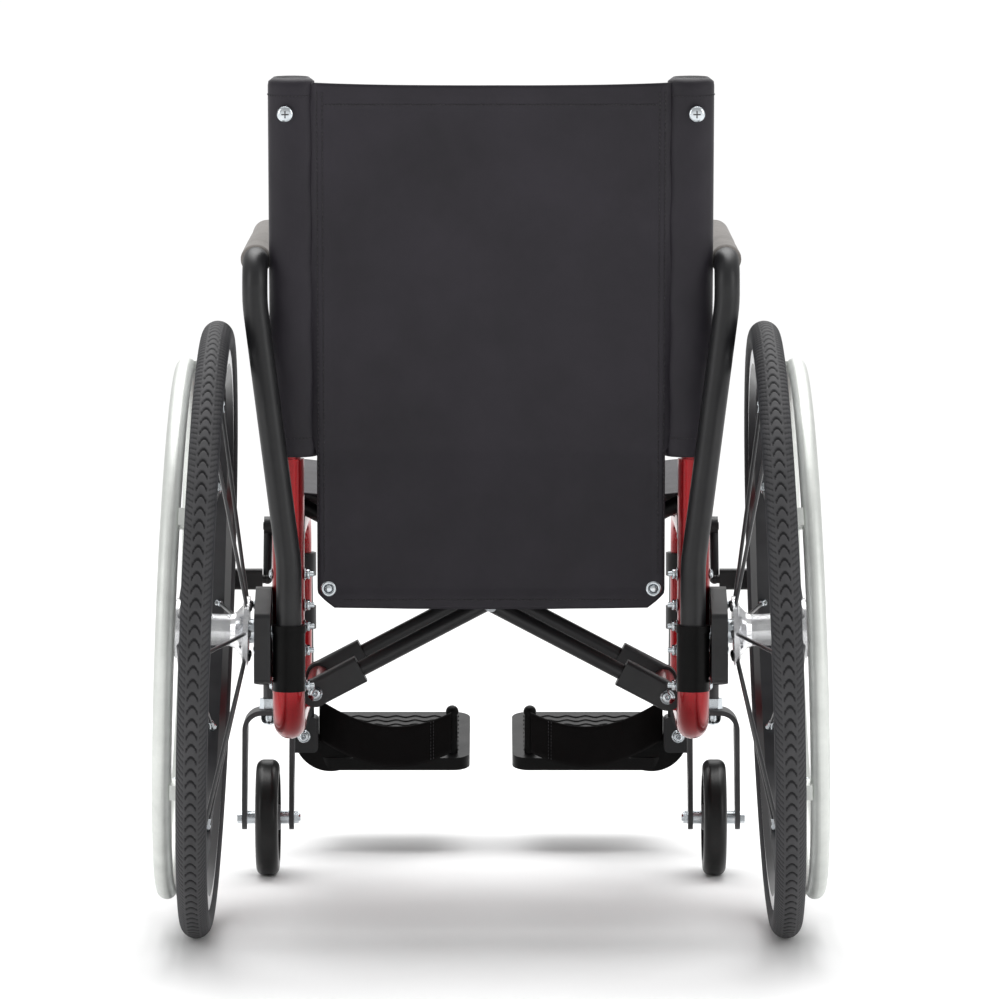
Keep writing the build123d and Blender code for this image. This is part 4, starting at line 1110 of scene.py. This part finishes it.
# ---- Stage -----------------------------------------------------------------------------------------
def floor():
    """Plain pale floor, wide enough to fill the view to its horizon."""
    made, tree = surface("paper_floor", Roughness=0.8, Specular_IOR_Level=0.1)
    mottle = noise(tree, place(tree), 3.0, 3.0)
    shade(tree, "Base Color", ramp(tree, mottle, (0.3, 0.90), (0.7, 0.93)))
    mesh = bpy.data.meshes.new("floor")
    half = 140.0
    corners = [(-half, -half, 0), (half, -half, 0), (half, half, 0), (-half, half, 0)]
    mesh.from_pydata(corners, [], [(0, 1, 2, 3)])
    mesh.materials.append(made)
    piece = bpy.data.objects.new("floor", mesh)
    bpy.context.scene.collection.objects.link(piece)


def softbox(name, place_at, towards, width, height, power):
    lamp = bpy.data.lights.new(name, "AREA")
    lamp.shape = "RECTANGLE"
    lamp.size = width
    lamp.size_y = height
    lamp.energy = power
    made = bpy.data.objects.new(name, lamp)
    made.location = place_at
    made.rotation_euler = (Vector(towards) - Vector(place_at)).to_track_quat("-Z", "Y").to_euler()
    bpy.context.scene.collection.objects.link(made)


def lights():
    world = bpy.data.worlds.new("studio")
    bpy.context.scene.world = world
    world.use_nodes = True
    background = world.node_tree.nodes["Background"]
    background.inputs["Color"].default_value = (1.0, 1.0, 1.0, 1)
    background.inputs["Strength"].default_value = 0.58
    chair = (0, 0, 0.4)
    softbox("top_light", (0.0, 0.9, 3.4), (0, 0, 0.3), 2.6, 2.2, 60)
    softbox("left_light", (-3.0, -2.2, 1.6), chair, 1.2, 2.4, 22)
    softbox("right_light", (3.0, -2.2, 1.6), chair, 1.2, 2.4, 26)
    sky = bpy.data.lights.new("overhead_sheet", "SUN")
    sky.energy = 1.95
    sky.angle = radians(70)
    overhead = bpy.data.objects.new("overhead_sheet", sky)
    overhead.rotation_euler = Vector((0, -0.55, -1)).to_track_quat("-Z", "Y").to_euler()
    bpy.context.scene.collection.objects.link(overhead)
    view = bpy.context.scene.view_settings
    view.view_transform = "Standard"
    view.look = "None"


def camera():
    lens = bpy.data.cameras.new("camera")
    lens.lens = CAMERA_LENS
    lens.sensor_width = 36.0
    lens.shift_x = CAMERA_SHIFT
    lens.clip_end = 300.0
    made = bpy.data.objects.new("camera", lens)
    made.location = (0, AXLE_Y - CAMERA_DISTANCE, CAMERA_HEIGHT)
    made.rotation_euler = (radians(90 - CAMERA_TILT), 0, 0)
    bpy.context.scene.collection.objects.link(made)
    bpy.context.scene.camera = made


# ---- Build everything --------------------------------------------------------------------------------
def main():
    black_powder = powder_coat("black_powder", (0.006, 0.006, 0.007), (0.012, 0.012, 0.013), 0.40)
    grey_powder = powder_coat("grey_powder", (0.035, 0.035, 0.037), (0.055, 0.055, 0.058), 0.45)
    red, zinc, satin, black_gloss = candy_red(), zinc_plate(), satin_alloy(), gloss_black()
    plastic = moulded("black_plastic", (0.002, 0.002, 0.002), (0.004, 0.0038, 0.0038), 0.36, 0.10)
    hub_plastic = moulded("caster_plastic", (0.10, 0.10, 0.105), (0.15, 0.15, 0.155), 0.5)
    caster_rubber = moulded(
        "caster_rubber", (0.003, 0.003, 0.003), (0.008, 0.008, 0.008), 0.33, 0.30, 500.0, 0.06
    )
    cloth = (0.0135, 0.0115, 0.0160), (0.0235, 0.0200, 0.0275)
    nylon = woven("nylon", *cloth, "X", "Z", 1.3 * MM, 0.46, 0.12)
    seat_nylon = woven("seat_nylon", *cloth, "X", "Y", 1.3 * MM, 0.5, 0.12)
    strap = (0.003, 0.0025, 0.0025), (0.007, 0.006, 0.006)
    webbing = woven("webbing", *strap, "X", "Z", 2.0 * MM, 0.5, 0.0, 0.06)
    thread = thread_black()
    foam = pad_foam()
    turned = {side_name: turned_alloy(side_name) for _, side_name in SIDES}
    rims = {side_name: rim_finish(side_name) for _, side_name in SIDES}
    rubber = {side_name: tyre_rubber(side_name) for _, side_name in SIDES}
    finish_nodes({
        "side_frame": red, "back_cane": red, "axle_plate": black_powder, "frame_bolts": zinc,
        "arm_receiver": plastic, "rear_axle": zinc, "release_button": zinc, "hub": turned,
        "spokes": black_gloss, "rim": rims, "tyre": rubber, "handrim": satin, "arm_tube": black_powder,
        "arm_pad": foam, "caster_housing": black_powder, "caster_fork": grey_powder, "caster_bolts": zinc,
        "caster_wheel": hub_plastic, "caster_tyre": caster_rubber, "seat_saddles": plastic,
        "hanger": black_powder, "footplate_hinge_bolt": zinc, "footplate": plastic, "heel_loop": webbing,
        "lock_clamp": black_powder, "lock_lever": black_powder, "lock_shoe": black_powder,
        "cross_brace": black_powder, "brace_bolts": zinc, "brace_bolt": zinc, "back_upholstery": nylon,
        "seat_sling": seat_nylon,
    })
    for side, side_name in SIDES:
        upright_bolts(side, side_name, zinc)
        hinge_bolt(side_name, zinc)
        brace_bolts(side, side_name, zinc)
        tyre(side, side_name, rubber[side_name])
        spoke_fittings(side_name, zinc, black_gloss)
        push_ring_screws(side_name, zinc)
        cane_sleeve(side, side_name, nylon, thread)
        heel_loop(side, side_name, webbing, thread)
        footplate_ribs(side, side_name, plastic)
        arm_pad(side, side_name, foam)
        upholstery_screw(side_name, zinc, black_gloss)
    back_panel(nylon, thread, zinc)
    seat_sling(seat_nylon)
    floor()
    lights()
    camera()


main()
